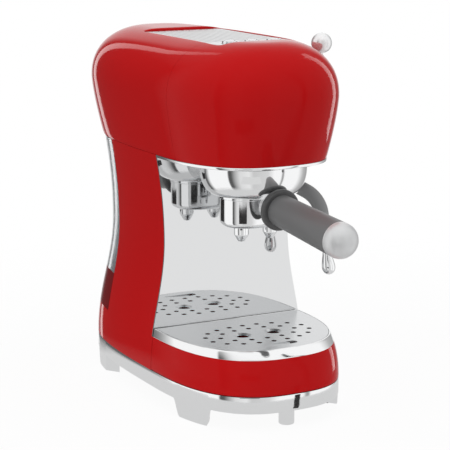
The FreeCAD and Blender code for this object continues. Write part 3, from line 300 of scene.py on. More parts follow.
def grid_piece(name, points, body, wrap_rows=False, wrap_columns=False, caps=False, sharp=35):
    """A mesh from a grid of points in millimetres, closed round its rows or columns where asked."""
    rows, columns = points.shape[:2]
    index = np.arange(rows * columns).reshape(rows, columns)
    if wrap_rows:
        index = np.concatenate([index, index[:1]], axis=0)
    if wrap_columns:
        index = np.concatenate([index, index[:, :1]], axis=1)
    quads = np.stack([index[:-1, :-1], index[:-1, 1:], index[1:, 1:], index[1:, :-1]], axis=-1)
    faces = quads.reshape(-1, 4).tolist()
    if caps:
        faces += [index[0, :columns].tolist(), index[rows - 1, :columns].tolist()]
    mesh = bpy.data.meshes.new(name)
    mesh.from_pydata((points.reshape(-1, 3) * mm).tolist(), [], faces)
    work = bmesh.new()
    work.from_mesh(mesh)
    bmesh.ops.remove_doubles(work, verts=work.verts, dist=merge_reach)
    bmesh.ops.recalc_face_normals(work, faces=work.faces)
    work.to_mesh(mesh)
    work.free()
    mesh.shade_smooth()
    mesh.set_sharp_from_angle(angle=math.radians(sharp))
    thing = bpy.data.objects.new(name, mesh)
    scene.collection.objects.link(thing)
    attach(thing, body)
    return thing


def dress(thing, material, slot, *replaced):
    """Give a piece its finish, and hide the CAD pieces that it stands for. The slot is not used."""
    thing.data.materials.append(material)
    if replaced:
        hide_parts(*replaced)


def finish_with(name, colour, rough, grain, spread, bump, metal=0.0, stretch=(1, 1, 1), more=None):
    """A principled finish whose roughness and fine relief follow noise in the piece's own space."""
    material, shader = plain_paint(name, {"Base Color": (*colour, 1.0), "Metallic": metal, **(more or {})})
    tree = material.node_tree
    place = add_node(tree, "TexCoord")
    mapping = add_node(tree, "Mapping", {"Scale": stretch})
    noise = add_node(tree, "TexNoise", {"Scale": grain, "Detail": 4.0})
    rough_range = add_node(tree, "MapRange", {"To Min": max(rough - spread, 0.0), "To Max": rough + spread})
    relief = add_node(tree, "Bump", {"Strength": bump, "Distance": 0.0002})
    wire(
        tree,
        (place, "Object", mapping, "Vector"), (mapping, "Vector", noise, "Vector"),
        (noise, 0, rough_range, "Value"), (rough_range, 0, shader, "Roughness"),
        (noise, 0, relief, "Height"), (relief, "Normal", shader, "Normal"),
    )
    return material


chrome_colour = (0.91, 0.915, 0.92)
chrome = finish_with("chrome", chrome_colour, rough=0.07, grain=60.0, spread=0.03, bump=0.02, metal=1.0)
skirt_bottom, skirt_top, skirt_wall = 15.1, 29.0, 3.0
foot_width, foot_start, foot_stop = 10.0, 4, 9
foot_spans = ((-81.0, -49.0), (105.0, 125.0))
pad_height, pad_columns = 0.7, 40


def smooth_step(value, low, high):
    """Zero below one limit, one above the other, with a rounded rise between them."""
    share = np.clip((value - low) / (high - low), 0.0, 1.0)
    return share * share * (3 - 2 * share)


def foot_share(y):
    """One over each foot, falling to zero beside it, quickly in front and slowly behind."""
    share = np.zeros_like(y)
    for start, end in foot_spans:
        rise = smooth_step(y - panel_y, start - foot_start, start)
        fall = 1 - smooth_step(y - panel_y, end, end + foot_stop)
        share = np.maximum(share, rise * fall)
    return share


around = np.linspace(0, 2 * np.pi, 1081)[:-1]
_, skirt_y = outline(around, base_half, base_front, base_rear)
over_foot = foot_share(skirt_y)
foot_edge = skirt_bottom * (1 - over_foot) + pad_height * over_foot
foot_inset = skirt_wall + (foot_width - skirt_wall) * over_foot
skirt_section = (
    (foot_inset, 0.0), (0.65, 0.0), (0.2, 0.02), (0.05, 0.06), (0.05, 0.3), (0.05, 0.6), (0.05, 0.95),
    (0.3, 1.0), (skirt_wall, 1.0), (skirt_wall, 0.75), (foot_inset, 0.7),
)
skirt_loop = []
for inset, share in skirt_section:
    skirt_loop.append(plan_row(around, base_spans, inset, foot_edge + (skirt_top - foot_edge) * share))
skirt = grid_piece("base_band", np.stack(skirt_loop, axis=1), "machine", wrap_rows=True, wrap_columns=True)
dress(skirt, chrome, "chrome", "base_skirt", "side_feet")
black_rubber = finish_with(
    "black_rubber", (0.018, 0.018, 0.018), rough=0.75, grain=700.0, spread=0.1, bump=0.2
)
right_side = np.linspace(-np.pi / 2, np.pi / 2, 4001)
for number, side in enumerate((-1, 1)):
    for start, end in foot_spans:
        level = np.linspace(start + 8, end - 6, pad_columns)
        pad_loop = []
        for inset, height in ((4.2, 0.0), (4.0, pad_height), (8.0, pad_height), (7.8, 0.0)):
            x, y, _ = plan_row(right_side, base_spans, inset, height).T
            pad_loop.append(at_height(side * np.interp(level, y - panel_y, x), panel_y + level, height))
        pad_name = "pad_%d_%d" % (number, start)
        pad = grid_piece(pad_name, np.stack(pad_loop, axis=1), "machine", wrap_columns=True, caps=True)
        dress(pad, black_rubber, "rubber", "foot_pads")


# Front foot
# A round chromed foot in the middle of the front, turned from bar with a soft edge at the floor and
# screwed up into the floor plate.

across, along, upward = np.eye(3)


def revolve(profile, foot, way, first, second, columns):
    """Points of a (radius, distance) profile turned about a line, between two directions square to it."""
    profile = np.array(profile, float)
    turn = np.linspace(0, 2 * np.pi, columns + 1)[:-1]
    side = np.cos(turn)[:, None] * first + np.sin(turn)[:, None] * second
    return foot + profile[:, 1][:, None, None] * way + profile[:, 0][:, None, None] * side


def turned_piece(name, profile, centre, body, columns=96, sharp=35):
    """A (radius, height) profile revolved about an upright axis through a centre."""
    points = revolve(profile, np.array([*centre, 0.0]), upward, across, along, columns)
    return grid_piece(name, points, body, wrap_columns=True, sharp=sharp)


foot_radius = 6.5
foot_profile = [
    (0, 0), (foot_radius - 1, 0), (foot_radius - 0.3, 0.3), (foot_radius, 1), (foot_radius, skirt_bottom),
    (0, skirt_bottom),
]
foot = turned_piece("round_foot", foot_profile, (0.0, 0.0), "machine")
dress(foot, chrome, "chrome", "front_foot")


# Floor plate, tray shelf and black fittings
# Black moulded plastic under the machine and under the tray, screwed to the lower body, with the pump's
# and the inlet's housings of the same stuff and soft black rubber seals.

black_plastic = finish_with(
    "black_plastic", (0.02, 0.02, 0.021), rough=0.45, grain=900.0, spread=0.08, bump=0.12
)


def coat(material, *names):
    """Give CAD pieces a finish in place of the plain one they come with."""
    for name in names:
        mesh = nodes[name].data
        mesh.materials.clear()
        mesh.materials.append(material)


coat(black_plastic, "base_plate", "tray_shelf", "board_carrier", "tank_coupling")
coat(black_plastic, "pump", "flow_meter", "power_inlet")
coat(black_rubber, "group_gasket", "tank_seal", "pump_mounts")


# Lower body
# The painted red shell behind the drip tray, pressed from sheet, which carries the column and the
# tank. Its rear wall has a square hole for the power inlet.

waist_half, waist_rear, waist_height = 60.0, 162.0, 140.0
shoulder_half, shoulder_rear = 67.0, 166.0
head_bottom, tray_top, deck_top = 214.0, 65.0, 58.0
tray_lean, tray_lean_power = 12.3, 2.6


def body_spans(height):
    """Half width and reaches of the waisted body at a height: a cosine flare below, a square above."""
    drop = np.clip((waist_height - height) / (waist_height - skirt_top), 0.0, 1.0)
    rise = np.clip((height - waist_height) / (head_bottom - waist_height), 0.0, 1.0)
    low = (1 - np.cos(np.pi * drop)) / 2
    half = waist_half + low * (base_half - waist_half) + rise**2 * (shoulder_half - waist_half)
    rear = waist_rear + low * (base_rear - waist_rear) + rise**2 * (shoulder_rear - waist_rear)
    lean = np.clip((height - skirt_top) / (tray_top - skirt_top), 0.0, 1.0) ** tray_lean_power
    return half, base_front - tray_lean * lean, rear


def red_finish(name):
    """Gloss red: a deep even red with a trace of orange peel."""
    return finish_with(
        name, (0.56, 0.009, 0.01), rough=0.06, grain=260.0, spread=0.02, bump=0.01,
        more={"Specular IOR Level": 0.045},
    )


def enamel(thing, material, slot, *replaced):
    """Dress a new piece in red, and let the narrow lamps show in it."""
    dress(thing, material, slot, *replaced)
    edge_lit.objects.link(thing)


def side_angles(shape, level, in_front, columns):
    """Angles along a plan before or behind a plane of constant y, with both ends on the plane."""
    _, y = shape(right_side)
    start = np.interp(level, y - panel_y, right_side)
    share = np.linspace(-1, 1, columns)
    if in_front:
        return -np.pi / 2 + (start + np.pi / 2) * share
    return np.pi / 2 + (np.pi / 2 - start) * share


def body_row(height, inset, level, columns, in_front=False):
    """One row of the body before or behind a plane of constant y."""
    spans = body_spans(height)
    angle = side_angles(lambda turn: plan_row(turn, spans, inset, height).T[:2], level, in_front, columns)
    return plan_row(angle, spans, inset, height)


def drawn_in(rim, middle, shares):
    """Rows drawn in from a rim towards a middle point by shares of the way."""
    return [rim + (np.array(middle) - rim) * share for share in shares]


def level_sheet(name, rim, middle, steps, thick, body):
    """A closed level sheet: rows from a rim to a middle point, and back at another height."""
    face = np.stack(drawn_in(rim, middle, np.linspace(0, 1, steps)), axis=1)
    back = face[:, ::-1] + np.array([0.0, 0.0, thick])
    points = np.concatenate([face, back], axis=1)
    return grid_piece(name, points, body, wrap_rows=True, wrap_columns=True)


def open_window(thing, inside):
    """Take away the faces whose middle lies inside a window."""
    work = bmesh.new()
    work.from_mesh(thing.data)
    squares = [face for face in work.faces if len(face.verts) == 4]
    faces = [face for face in squares if inside(*(face.calc_center_median() / mm))]
    bmesh.ops.delete(work, geom=faces, context="FACES")
    work.to_mesh(thing.data)
    work.free()


red_enamel = red_finish("red_enamel")
lower_wall, lower_columns, lower_front, inner_front = 3.0, 361, -0.8, 2.2
under_deck = deck_top - lower_wall
inner_levels = [deck_top, under_deck, *np.linspace(under_deck, skirt_top, 8)]
lower_rows = [
    body_row(height, 0.0, lower_front, lower_columns) for height in np.linspace(skirt_top, deck_top, 25)
]
lower_rows += [body_row(height, lower_wall, inner_front, lower_columns) for height in inner_levels]
lower = grid_piece("lower_shell", np.stack(lower_rows, axis=1), "machine", wrap_columns=True, caps=True)
inlet_half, inlet_low, inlet_high, inlet_wall = 19.5, 30.5, 52.5, panel_y + 150
open_window(lower, lambda x, y, z: abs(x) < inlet_half and inlet_low < z < inlet_high and y > inlet_wall)
enamel(lower, red_enamel, "red", "lower_body")
deck_rim = body_row(deck_top, lower_wall, inner_front, lower_columns)
deck_middle = (0.0, panel_y + 60.0, deck_top)
deck = level_sheet("lower_deck", deck_rim, deck_middle, 6, -lower_wall, "machine")
enamel(deck, red_enamel, "red")


# Column
# Two red side walls that draw in to a waist, pressed from sheet and welded to a rear wall. They stand
# on the lower body's deck and carry the head.

coat(red_enamel, "column_shell")
edge_lit.objects.link(nodes["column_shell"])


# Backsplash
# A flat panel of mirror-polished stainless steel behind the cup space, cut from sheet and let in between
# the side walls.

mirror_steel = finish_with(
    "mirror_steel", (0.73, 0.735, 0.74), rough=0.03, grain=40.0, spread=0.015, bump=0.0, metal=1.0
)
coat(mirror_steel, "backsplash")


# Water tank
# A vessel moulded in smoked clear plastic, behind the column on a dark red foot, with a lid pushed into
# its mouth and an outlet that plugs into the column's rear wall.

tank_front, tank_wall, tank_low, tank_split, tank_high = 101.5, 2.5, 58.4, 91.5, 213.5
tank_columns, foot_floor_thick, foot_floor_inset = 241, 3.0, 0.5
smoked = finish_with(
    "smoked_tank", (0.52, 0.545, 0.57), rough=0.12, grain=30.0, spread=0.05, bump=0.02,
    more={"Transmission Weight": 0.65, "IOR": 1.49, "Specular IOR Level": 0.15},
)
dark_red = finish_with(
    "dark_red_plastic", (0.19, 0.01, 0.012), rough=0.18, grain=80.0, spread=0.05, bump=0.02,
    more={"Specular IOR Level": 0.03},
)


def tank_ring(name, low, high, rows):
    """Closed wall round the tank: the body's outline behind it and a flat front, a wall thick."""
    outer, inner = [], []
    for height in np.linspace(low, high, rows):
        for inset, store in ((0.0, outer), (tank_wall, inner)):
            rear_row = body_row(height, inset, tank_front + inset, tank_columns)
            front_row = np.linspace(rear_row[-1], rear_row[0], 41)[1:-1]
            store.append(np.concatenate([rear_row, front_row]))
    points = np.stack(outer + inner[::-1], axis=1)
    return grid_piece(name, points, "tank", wrap_rows=True, wrap_columns=True)


vessel = tank_ring("tank_vessel", tank_split, tank_high, 31)
dress(vessel, smoked, "tank_grey", "water_tank")
edge_lit.objects.link(vessel)
tank_foot = tank_ring("tank_foot", tank_low, tank_split, 13)
dress(tank_foot, dark_red, "tank_red", "tank_base")
foot_floor_rim = body_row(tank_low, foot_floor_inset, tank_front + foot_floor_inset, tank_columns)
foot_floor_middle = (0.0, panel_y + 120.0, tank_low)
foot_floor = level_sheet("tank_foot_floor", foot_floor_rim, foot_floor_middle, 5, foot_floor_thick, "tank")
dress(foot_floor, dark_red, "tank_red")
coat(black_plastic, "tank_lid", "tank_outlet")


# Works inside
# Pump, heater block, valve, pipes and hoses in the column and the head, screwed to a steel chassis, with
# the finishes of bare steel, cast aluminium, brass, soft hose and a green board.

bare_steel = finish_with(
    "bare_steel", (0.55, 0.56, 0.57), rough=0.32, grain=400.0, spread=0.08, bump=0.08, metal=1.0
)
cast_aluminium = finish_with(
    "cast_aluminium", (0.62, 0.63, 0.64), rough=0.45, grain=500.0, spread=0.1, bump=0.25, metal=1.0
)
brass = finish_with("brass", (0.72, 0.5, 0.2), rough=0.3, grain=300.0, spread=0.08, bump=0.1, metal=1.0)
clear_hose = finish_with("clear_hose", (0.7, 0.7, 0.66), rough=0.35, grain=200.0, spread=0.05, bump=0.05)
green_board = finish_with("green_board", (0.02, 0.12, 0.04), rough=0.4, grain=300.0, spread=0.06, bump=0.05)
coat(
    bare_steel, "chassis_plate", "shower_screen", "machine_screws", "steam_pipes", "pump_bracket",
    "brew_pipe", "filter_basket", "handle_bolt", "valve_stem", "wand_ball",
)
coat(cast_aluminium, "group_body", "thermoblock")
coat(brass, "steam_valve")
coat(clear_hose, "water_hoses")
coat(green_board, "control_board")


# Head covers
# Two shells of pressed sheet, painted red, that meet at a fine seam across the head. They swell from
# the rim, round over to a gently crowned top and turn down into the well that holds the cup plate.

head_wide, head_top = 266.0, 311.0
head_half, head_front, head_rear = 74.95, 110.95, 182.9
top_half, top_front, top_rear = 22.0, 70.0, 132.0
rim_drop_half, rim_drop_front, rim_drop_rear = 8.0, 11.0, 13.0
head_power, drop_power, cover_wall, crown_share = 2.2, 1.4, 3.0, 0.72
plate_half, plate_front, plate_rear, plate_top, plate_thick = 37.5, 55.0, 86.0, 308.6, 3.0
well_front_power, well_rear_power, well_margin = 16.0, 30.0, 1.3
ledge_inset, ledge_under, ledge_outer = -4.0, 303.0, 4.0
seam, seam_gap = -33.0, 0.12


def shoulder_spans(share):
    """Half width and reaches of the shoulder's ring at a share of the way out from the crest."""
    half = top_half + share * (head_half - top_half)
    front = top_front + share * (head_front - top_front)
    rear = top_rear + share * (head_rear - top_rear)
    return half, front, rear


def head_rings(inset, shares):
    """Half width, reaches and height of each ring from the rim up: a power curve, then the shoulder."""
    rise = np.linspace(0, 1, 22)[:-1]
    low = (1 - rise) ** drop_power
    up = (1 - shares**head_power) ** (1 / head_power)
    shoulder_half_width, shoulder_front, shoulder_back = shoulder_spans(shares)
    half = np.concatenate([head_half - low * rim_drop_half, shoulder_half_width])
    front = np.concatenate([head_front - low * rim_drop_front, shoulder_front])
    rear = np.concatenate([head_rear - low * rim_drop_rear, shoulder_back])
    swell = head_bottom + rise * (head_wide - head_bottom)
    height = np.concatenate([swell, head_wide + up * (head_top - inset - head_wide)])
    return np.stack([half - inset, front - inset, rear - inset, height], axis=-1)


def ring_radius(angle, share):
    """Polar radius of the shoulder's ring at a share of the way from the crest to the widest level."""
    x, y = outline(angle, *shoulder_spans(share))
    return np.hypot(x, y - panel_y)


def crown_height(angle, radius):
    """Height of the crowned top at a polar place: the ring through it is found by halving."""
    low, high = np.zeros_like(radius), np.ones_like(radius)
    for _ in range(40):
        middle = (low + high) / 2
        outside = ring_radius(angle, middle) > radius
        high = np.where(outside, middle, high)
        low = np.where(outside, low, middle)
    return head_wide + (1 - middle**head_power) ** (1 / head_power) * (head_top - head_wide)


def well_outline(angle, grow):
    """Plan of the well for the cup plate: nearly square behind, rounded at the front corners."""
    behind = np.sin(angle) >= 0
    reach = np.where(behind, plate_rear, plate_front) + grow
    power = np.where(behind, well_rear_power, well_front_power)
    return superellipse(angle, plate_half + grow, reach, power)


def crown_outline(angle, blend):
    """Plan of the top between the shoulder's last ring and the well, by a share of the way in."""
    x, y = well_outline(angle, well_margin)
    radius = (1 - blend) * ring_radius(angle, crown_share) + blend * np.hypot(x, y - panel_y)
    return radius * np.cos(angle), panel_y + radius * np.sin(angle)


def cover_grid(in_front, columns):
    """Closed section of a cover: up the outside, over the crown, down the well and back inside the wall.

    A height of zero or less counts from the crown."""
    level = seam - seam_gap if in_front else seam + seam_gap
    rows = []

    def add(plan, sizes, height):
        angle = side_angles(lambda turn: plan(turn, *sizes), level, in_front, columns)
        x, y = plan(angle, *sizes)
        radius = np.hypot(x, y - panel_y)
        rows.append(at_height(x, y, height if height > 0 else crown_height(angle, radius) + height))

    outside = head_rings(0.0, 1 - (1 - crown_share) * np.linspace(0, 1, 16) ** 2)
    for back, rise in ((0.6, 0.0), (0.15, 0.25)):
        add(outline, outside[0, :3] - back, outside[0, 3] + rise)
    outside[0, 3] += 0.7
    for ring in outside:
        add(outline, ring[:3], ring[3])
    for blend in np.linspace(0, 1, 15)[1:]:
        add(crown_outline, (blend,), 0.0)
    for grow, sink in ((0.7, -0.12), (0.3, -0.4), (0.2, -0.9)):
        add(well_outline, (grow,), sink)
    ledge_top = plate_top - plate_thick
    for grow, height in ((0.2, ledge_top), (ledge_inset, ledge_top)):
        add(well_outline, (grow,), height)
    for grow in (ledge_inset, ledge_outer):
        add(well_outline, (grow,), ledge_under)
    for ring in head_rings(cover_wall, np.linspace(0.68, 1.0, 12)[::-1])[::-1]:
        add(outline, ring[:3], ring[3])
    return np.stack(rows, axis=1)


for name, in_front, columns in (("head_front", True, 241), ("head_rear", False, 401)):
    points = cover_grid(in_front, columns)
    cover = grid_piece(name + "_shell", points, "machine", wrap_columns=True, caps=True, sharp=40)
    enamel(cover, red_enamel, "red", name + "_cover")


# Head rim and head floor
# A thin chromed strip clipped round the head's lower edge in front of the backsplash. Inside it a grey
# moulded floor, screwed to the chassis, closes the head round the brew group.

rim_low, rim_inner = 211.7, 3.0
rim_spans = (head_half - rim_drop_half, head_front - rim_drop_front, head_rear - rim_drop_rear)
rim_section = (
    (0.2, rim_low), (-0.25, rim_low + 0.3), (-0.4, rim_low + 0.9), (-0.4, head_bottom - 0.4),
    (-0.1, head_bottom), (rim_inner, head_bottom), (rim_inner, rim_low),
)
rim_angle = np.linspace(-np.pi, 0, 241)
rim_rows = [plan_row(rim_angle, rim_spans, inset, height) for inset, height in rim_section]
rim = grid_piece("head_trim", np.stack(rim_rows, axis=1), "machine", wrap_columns=True, caps=True)
dress(rim, chrome, "chrome", "head_rim")
grey_moulding = finish_with(
    "grey_moulding", (0.3, 0.3, 0.305), rough=0.4, grain=500.0, spread=0.06, bump=0.08
)
coat(grey_moulding, "head_floor")


# Cup plate
# A stainless plate let into the top, pressed with ribs that run from front to back behind a plain
# strip for the buttons.

rib_pitch, rib_height, rib_front, groove_half = 6.0, 1.0, -30.0, 0.75
button_offset, button_y, button_hole = 20.7, panel_y - 42.6, 6.9


def steel_with_painted_groove_shade():
    """Satin steel with painted shade in its grooves: darker lines at every pitch across, behind the
    buttons' strip.
    """
    colour = (0.82, 0.825, 0.83)
    material = finish_with(
        "plate_steel", colour, rough=0.34, grain=120.0, spread=0.02, bump=0.0, metal=1.0,
        stretch=(14.0, 1.0, 1.0),
    )
    tree = material.node_tree
    place = add_node(tree, "TexCoord")
    split = add_node(tree, "SeparateXYZ")
    across = add_node(tree, "Math", {1: rib_pitch / 2 * mm}, "PINGPONG")
    line = add_node(tree, "MapRange", {"From Min": groove_half * mm, "From Max": groove_half / 3 * mm})
    behind = add_node(tree, "Math", {1: (panel_y + rib_front) * mm}, "GREATER_THAN")
    both = add_node(tree, "Math", operation="MULTIPLY")
    # Painted shade: along each groove the colour is mixed towards this dark grey, in place of the shade in
    # the groove.
    shade_in_grooves = add_node(tree, "MixRGB", {"Color1": (*colour, 1.0), "Color2": (0.25, 0.25, 0.26, 1.0)})
    wire(
        tree,
        (place, "Object", split, 0), (split, "X", across, 0), (split, "Y", behind, 0),
        (across, 0, line, "Value"), (line, 0, both, 0), (behind, 0, both, 1), (both, 0, shade_in_grooves, "Fac"),
        (shade_in_grooves, "Color", tree.nodes["Principled BSDF"], "Base Color"),
    )
    return material


def plate_grid():
    """Top face over (share across, depth): the well's half width, with ribs between bell-shaped grooves."""
    front_depth = -plate_front * np.sin(np.linspace(np.pi / 2, 0, 60))[:-1]
    depth = np.concatenate([front_depth, np.linspace(0, plate_rear, 60)])
    power = np.where(depth < 0, well_front_power, well_rear_power)
    reach = np.where(depth < 0, plate_front, plate_rear)
    half = plate_half * np.maximum(1 - (np.abs(depth) / reach) ** power, 0.0) ** (1 / power)
    x = half[:, None] * np.linspace(-1, 1, 401)
    y = panel_y + depth[:, None] + 0 * x
    rear_fade = 1 - smooth_step(depth, plate_rear - 6, plate_rear - 3)
    along = smooth_step(depth, rib_front, rib_front + 3) * rear_fade
    edge_fade = 1 - smooth_step(np.abs(x), plate_half - 4.5, plate_half - 3)
    across_groove = np.mod(x + rib_pitch / 2, rib_pitch) - rib_pitch / 2
    groove = np.exp(-((across_groove / groove_half) ** 2))
    return at_height(x, y, plate_top - rib_height * along[:, None] * edge_fade * groove)


def in_button_hole(x, y, z):
    """Whether a point of the plate lies inside one of the three round holes."""
    return min(math.hypot(x - side * button_offset, y - button_y) for side in (-1, 0, 1)) < button_hole


plate_face = plate_grid()
plate_under = plate_face.copy()
plate_under[..., 2] = plate_top - plate_thick
plate_points = np.concatenate([plate_face, plate_under[:, ::-1]], axis=1)
plate = grid_piece("cup_tray", plate_points, "machine", wrap_columns=True, caps=True)
open_window(plate, in_button_hole)
dress(plate, steel_with_painted_groove_shade(), "steel", "cup_plate")


# Buttons
# Three push buttons, moulded and plated in satin silver, slightly domed, each with a shallow ring. They
# rise through the plate, and a flange under it keeps them in.

satin_silver = finish_with(
    "satin_silver", (0.8, 0.81, 0.82), rough=0.24, grain=300.0, spread=0.05, bump=0.04, metal=1.0
)
button_radius, button_top = 6.2, 310.8
stem_radius, stem_low, flange_radius, flange_low, flange_top = 3, 294, 7.8, 303.4, 305.4
ring_low = button_top - 0.5
button_profile = [
    (0, stem_low), (stem_radius, stem_low), (stem_radius, flange_low), (flange_radius, flange_low),
    (flange_radius, flange_top), (button_radius, flange_top), (button_radius, button_top - 0.9),
    (button_radius - 0.3, button_top - 0.3), (button_radius - 0.9, button_top), (4.6, button_top),
    (4.3, ring_low), (3.9, ring_low), (3.6, button_top - 0.1), (1.8, button_top), (0, button_top),
]
for name, side in (("single", -1), ("double", 0), ("steam", 1)):
    button_place = (side * button_offset, button_y)
    button = turned_piece("push_" + name, button_profile, button_place, name + "_button")
    dress(button, satin_silver, "silver", "button_" + name)


# Portafilter
# A chromed brass bowl that locks under the group, with a cup for the basket inside it, and a spout
# block below with two pointed spouts.

group_y = panel_y - 45.5
bowl_radius, bowl_top, bowl_bottom, bowl_foot, brim_low = 45.0, 211.3, 184.0, 33.0, 206.0
drain_radius, cup_floor, cup_inner, cup_outer, cup_top = 4, 187.5, 28.5, 31.5, 205
trough_low, trough_radius, trough_spread, trough_rise = 188.5, 32.5, 10.0, 18.5
bowl_turn = np.linspace(0, np.pi / 2, 25)
bowl_out, bowl_up = np.sin(bowl_turn), 1 - np.cos(bowl_turn)
bowl_spread, bowl_rise = bowl_radius - bowl_foot, brim_low - bowl_bottom
bowl_outer = np.stack([bowl_foot + bowl_spread * bowl_out, bowl_bottom + bowl_rise * bowl_up], axis=-1)
bowl_inner = np.stack(
    [trough_radius + trough_spread * bowl_out, trough_low + trough_rise * bowl_up], axis=-1
)
bowl_profile = np.concatenate([
    [(drain_radius, cup_floor), (drain_radius, bowl_bottom), (28, bowl_bottom), (32.4, bowl_bottom)],
    bowl_outer,
    [(bowl_radius, bowl_top - 0.6), (bowl_radius - 0.4, bowl_top)],
    [(42.9, bowl_top), (42.5, bowl_top - 0.4)],
    bowl_inner[::-1],
    [(cup_outer, trough_low), (cup_outer, cup_top - 0.2), (cup_outer - 0.2, cup_top)],
    [(cup_inner + 0.2, cup_top), (cup_inner, cup_top - 0.2), (cup_inner, cup_floor)],
    [(drain_radius, cup_floor)],
])
bowl = turned_piece("brew_bowl", bowl_profile, (0.0, group_y), "portafilter", 160, 45)
dress(bowl, chrome, "chrome", "portafilter_body")
ear_inner, ear_outer, ear_low, ear_high, ear_half = 31.0, 35.4, 198.8, 202.5, 17
ear_reach = np.array([ear_inner, ear_outer, ear_outer, ear_inner])
ear_height = np.array([ear_low, ear_low, ear_high, ear_high])
for number, middle in enumerate((90, 210, 330)):
    ear_angle = np.radians(np.linspace(middle - ear_half, middle + ear_half, 25))[:, None]
    x, y = ear_reach * np.cos(ear_angle), group_y + ear_reach * np.sin(ear_angle)
    ear_points = at_height(x, y, ear_height)
    ear = grid_piece("bowl_ear_%d" % number, ear_points, "portafilter", wrap_columns=True, caps=True)
    dress(ear, chrome, "chrome")
block_half, block_depth, block_power, block_low, block_round = 28.5, 21.0, 2.4, 157.0, 5.0
block_columns, block_flat = 192, 15


def block_grid():
    """Spout block: a superellipse in plan, with a rounded foot, straight sides and a lip at the top."""
    angle = np.linspace(0, 2 * np.pi, block_columns + 1)[:-1]
    bend = np.linspace(0, np.pi / 2, 13)
    foot_in, foot_up = block_round * (1 - np.sin(bend)), block_low + block_round * (1 - np.cos(bend))
    inset = np.concatenate([[28.0, 20.0, 12.0, 7.0], foot_in, [0.0, 0.0, -0.9, -0.9, 3.0, 20.0]])
    lip_heights = [171.0, 180.6, 181.2, 183.9, bowl_bottom, bowl_bottom]
    height = np.concatenate([[block_low] * 4, foot_up, lip_heights])
    rows = []
    for back, level in zip(inset, height):
        deep = block_depth - back if back < block_flat else block_depth * (1 - back / block_half)
        x, y = superellipse(angle, block_half - back, deep, block_power)
        rows.append(at_height(x, y - panel_y + group_y, level))
    return np.stack(rows, axis=0)


block = grid_piece("pour_block", block_grid(), "portafilter", wrap_columns=True, sharp=45)
dress(block, chrome, "chrome", "spout_block")
tip_offset, tip_y, tip_end, tip_bore, tip_radius = 13.6, group_y - 4.5, 145.0, 2.4, 6.3
tip_profile = [
    (tip_bore, block_low), (tip_radius, block_low), (tip_radius, 151.2), (6.1, 150.3), (5.7, 149.7),
    (3.1, tip_end + 0.3), (2.8, tip_end), (tip_bore, tip_end + 0.2), (tip_bore, block_low),
]
for name, side, replaced in (("left", -1, ["spout_tips"]), ("right", 1, [])):
    tip = turned_piece("spout_" + name, tip_profile, (side * tip_offset, tip_y), "portafilter", 64)
    dress(tip, chrome, "chrome", *replaced)


# Handle
# A chromed neck, a dark collar, a grey soft-touch grip and a satin silver cap, held by one long bolt.
# The axis droops a little towards the hand.

handle_root = np.array([0.0, group_y, 180.7])
droop = math.radians(5.0)
handle_way = np.array([0.0, -math.cos(droop), -math.sin(droop)])
handle_up = np.array([0.0, -math.sin(droop), math.cos(droop)])
bolt_hole, neck_start, neck_end, collar_end, grip_end, cap_start = 4, 30, 41, 48, 134, 134.05
satin_chrome = finish_with(
    "satin_chrome", chrome_colour, rough=0.2, grain=60.0, spread=0.04, bump=0.02, metal=0.6
)
grip_grey = finish_with("grip_grey", (0.15, 0.151, 0.153), rough=0.4, grain=1400.0, spread=0.06, bump=0.1)
collar_grey = finish_with(
    "collar_grey", (0.07, 0.07, 0.071), rough=0.38, grain=1400.0, spread=0.06, bump=0.1
)
satin_cap = finish_with(
    "satin_cap", (0.7, 0.705, 0.71), rough=0.38, grain=300.0, spread=0.04, bump=0.04, metal=0.45
)


def handle_piece(name, profile, material, slot, node):
    """A round piece of the handle from a (radius, distance) profile about the handle's axis."""
    points = revolve(profile, handle_root, handle_way, across, handle_up, 128)
    thing = grid_piece(name, points, "portafilter", wrap_columns=True)
    dress(thing, material, slot, node)


neck_profile = [
    (bolt_hole, neck_start), (11.2, neck_start), (11.4, 38), (12.2, 40.2), (12.6, neck_end),
    (bolt_hole, neck_end), (bolt_hole, neck_start),
]
handle_piece("chrome_neck", neck_profile, satin_chrome, "chrome", "portafilter_neck")
collar_bend = np.linspace(0, np.pi / 2, 9)
collar_face, collar_rear, collar_front, collar_back = 14.2, 15.2, 3.0, 2.0
collar_profile = [(bolt_hole, neck_end), (collar_face, neck_end)]
collar_profile += [
    (collar_face + collar_front * math.sin(a), neck_end + collar_front - collar_front * math.cos(a))
    for a in collar_bend
]
collar_profile += [
    (collar_rear + collar_back * math.cos(a), collar_end - collar_back + collar_back * math.sin(a))
    for a in collar_bend
]
collar_profile += [(bolt_hole, collar_end), (bolt_hole, neck_end)]
handle_piece("dark_collar", collar_profile, collar_grey, "grip", "handle_collar")
grip_profile = [
    (bolt_hole, collar_end), (13.0, collar_end), (13.0, 48.2), (13.1, 53), (13.6, 90), (14.2, 132.9),
    (14.0, 133.8), (bolt_hole, grip_end), (bolt_hole, collar_end),
]
handle_piece("soft_grip", grip_profile, grip_grey, "grip", "handle_grip")
cap_radius, cap_dome_start, cap_dome, cap_bottom = 14.3, 137, 13.9, 136
cap_profile = [(bolt_hole, cap_start), (13.9, cap_start), (cap_radius, 134.4)]
cap_profile += [
    (cap_radius * math.cos(a), cap_dome_start + cap_dome * math.sin(a))
    for a in np.linspace(0, np.pi / 2, 25)
]
cap_profile += [(0, cap_bottom), (bolt_hole, cap_bottom), (bolt_hole, cap_start)]
handle_piece("silver_cap", cap_profile, satin_cap, "silver", "handle_cap")


# Steam lever
# A chromed arm on a round boss at the right of the head, turned from bar and keyed to the valve stem,
# with a satin chromed ball on its end to hold.

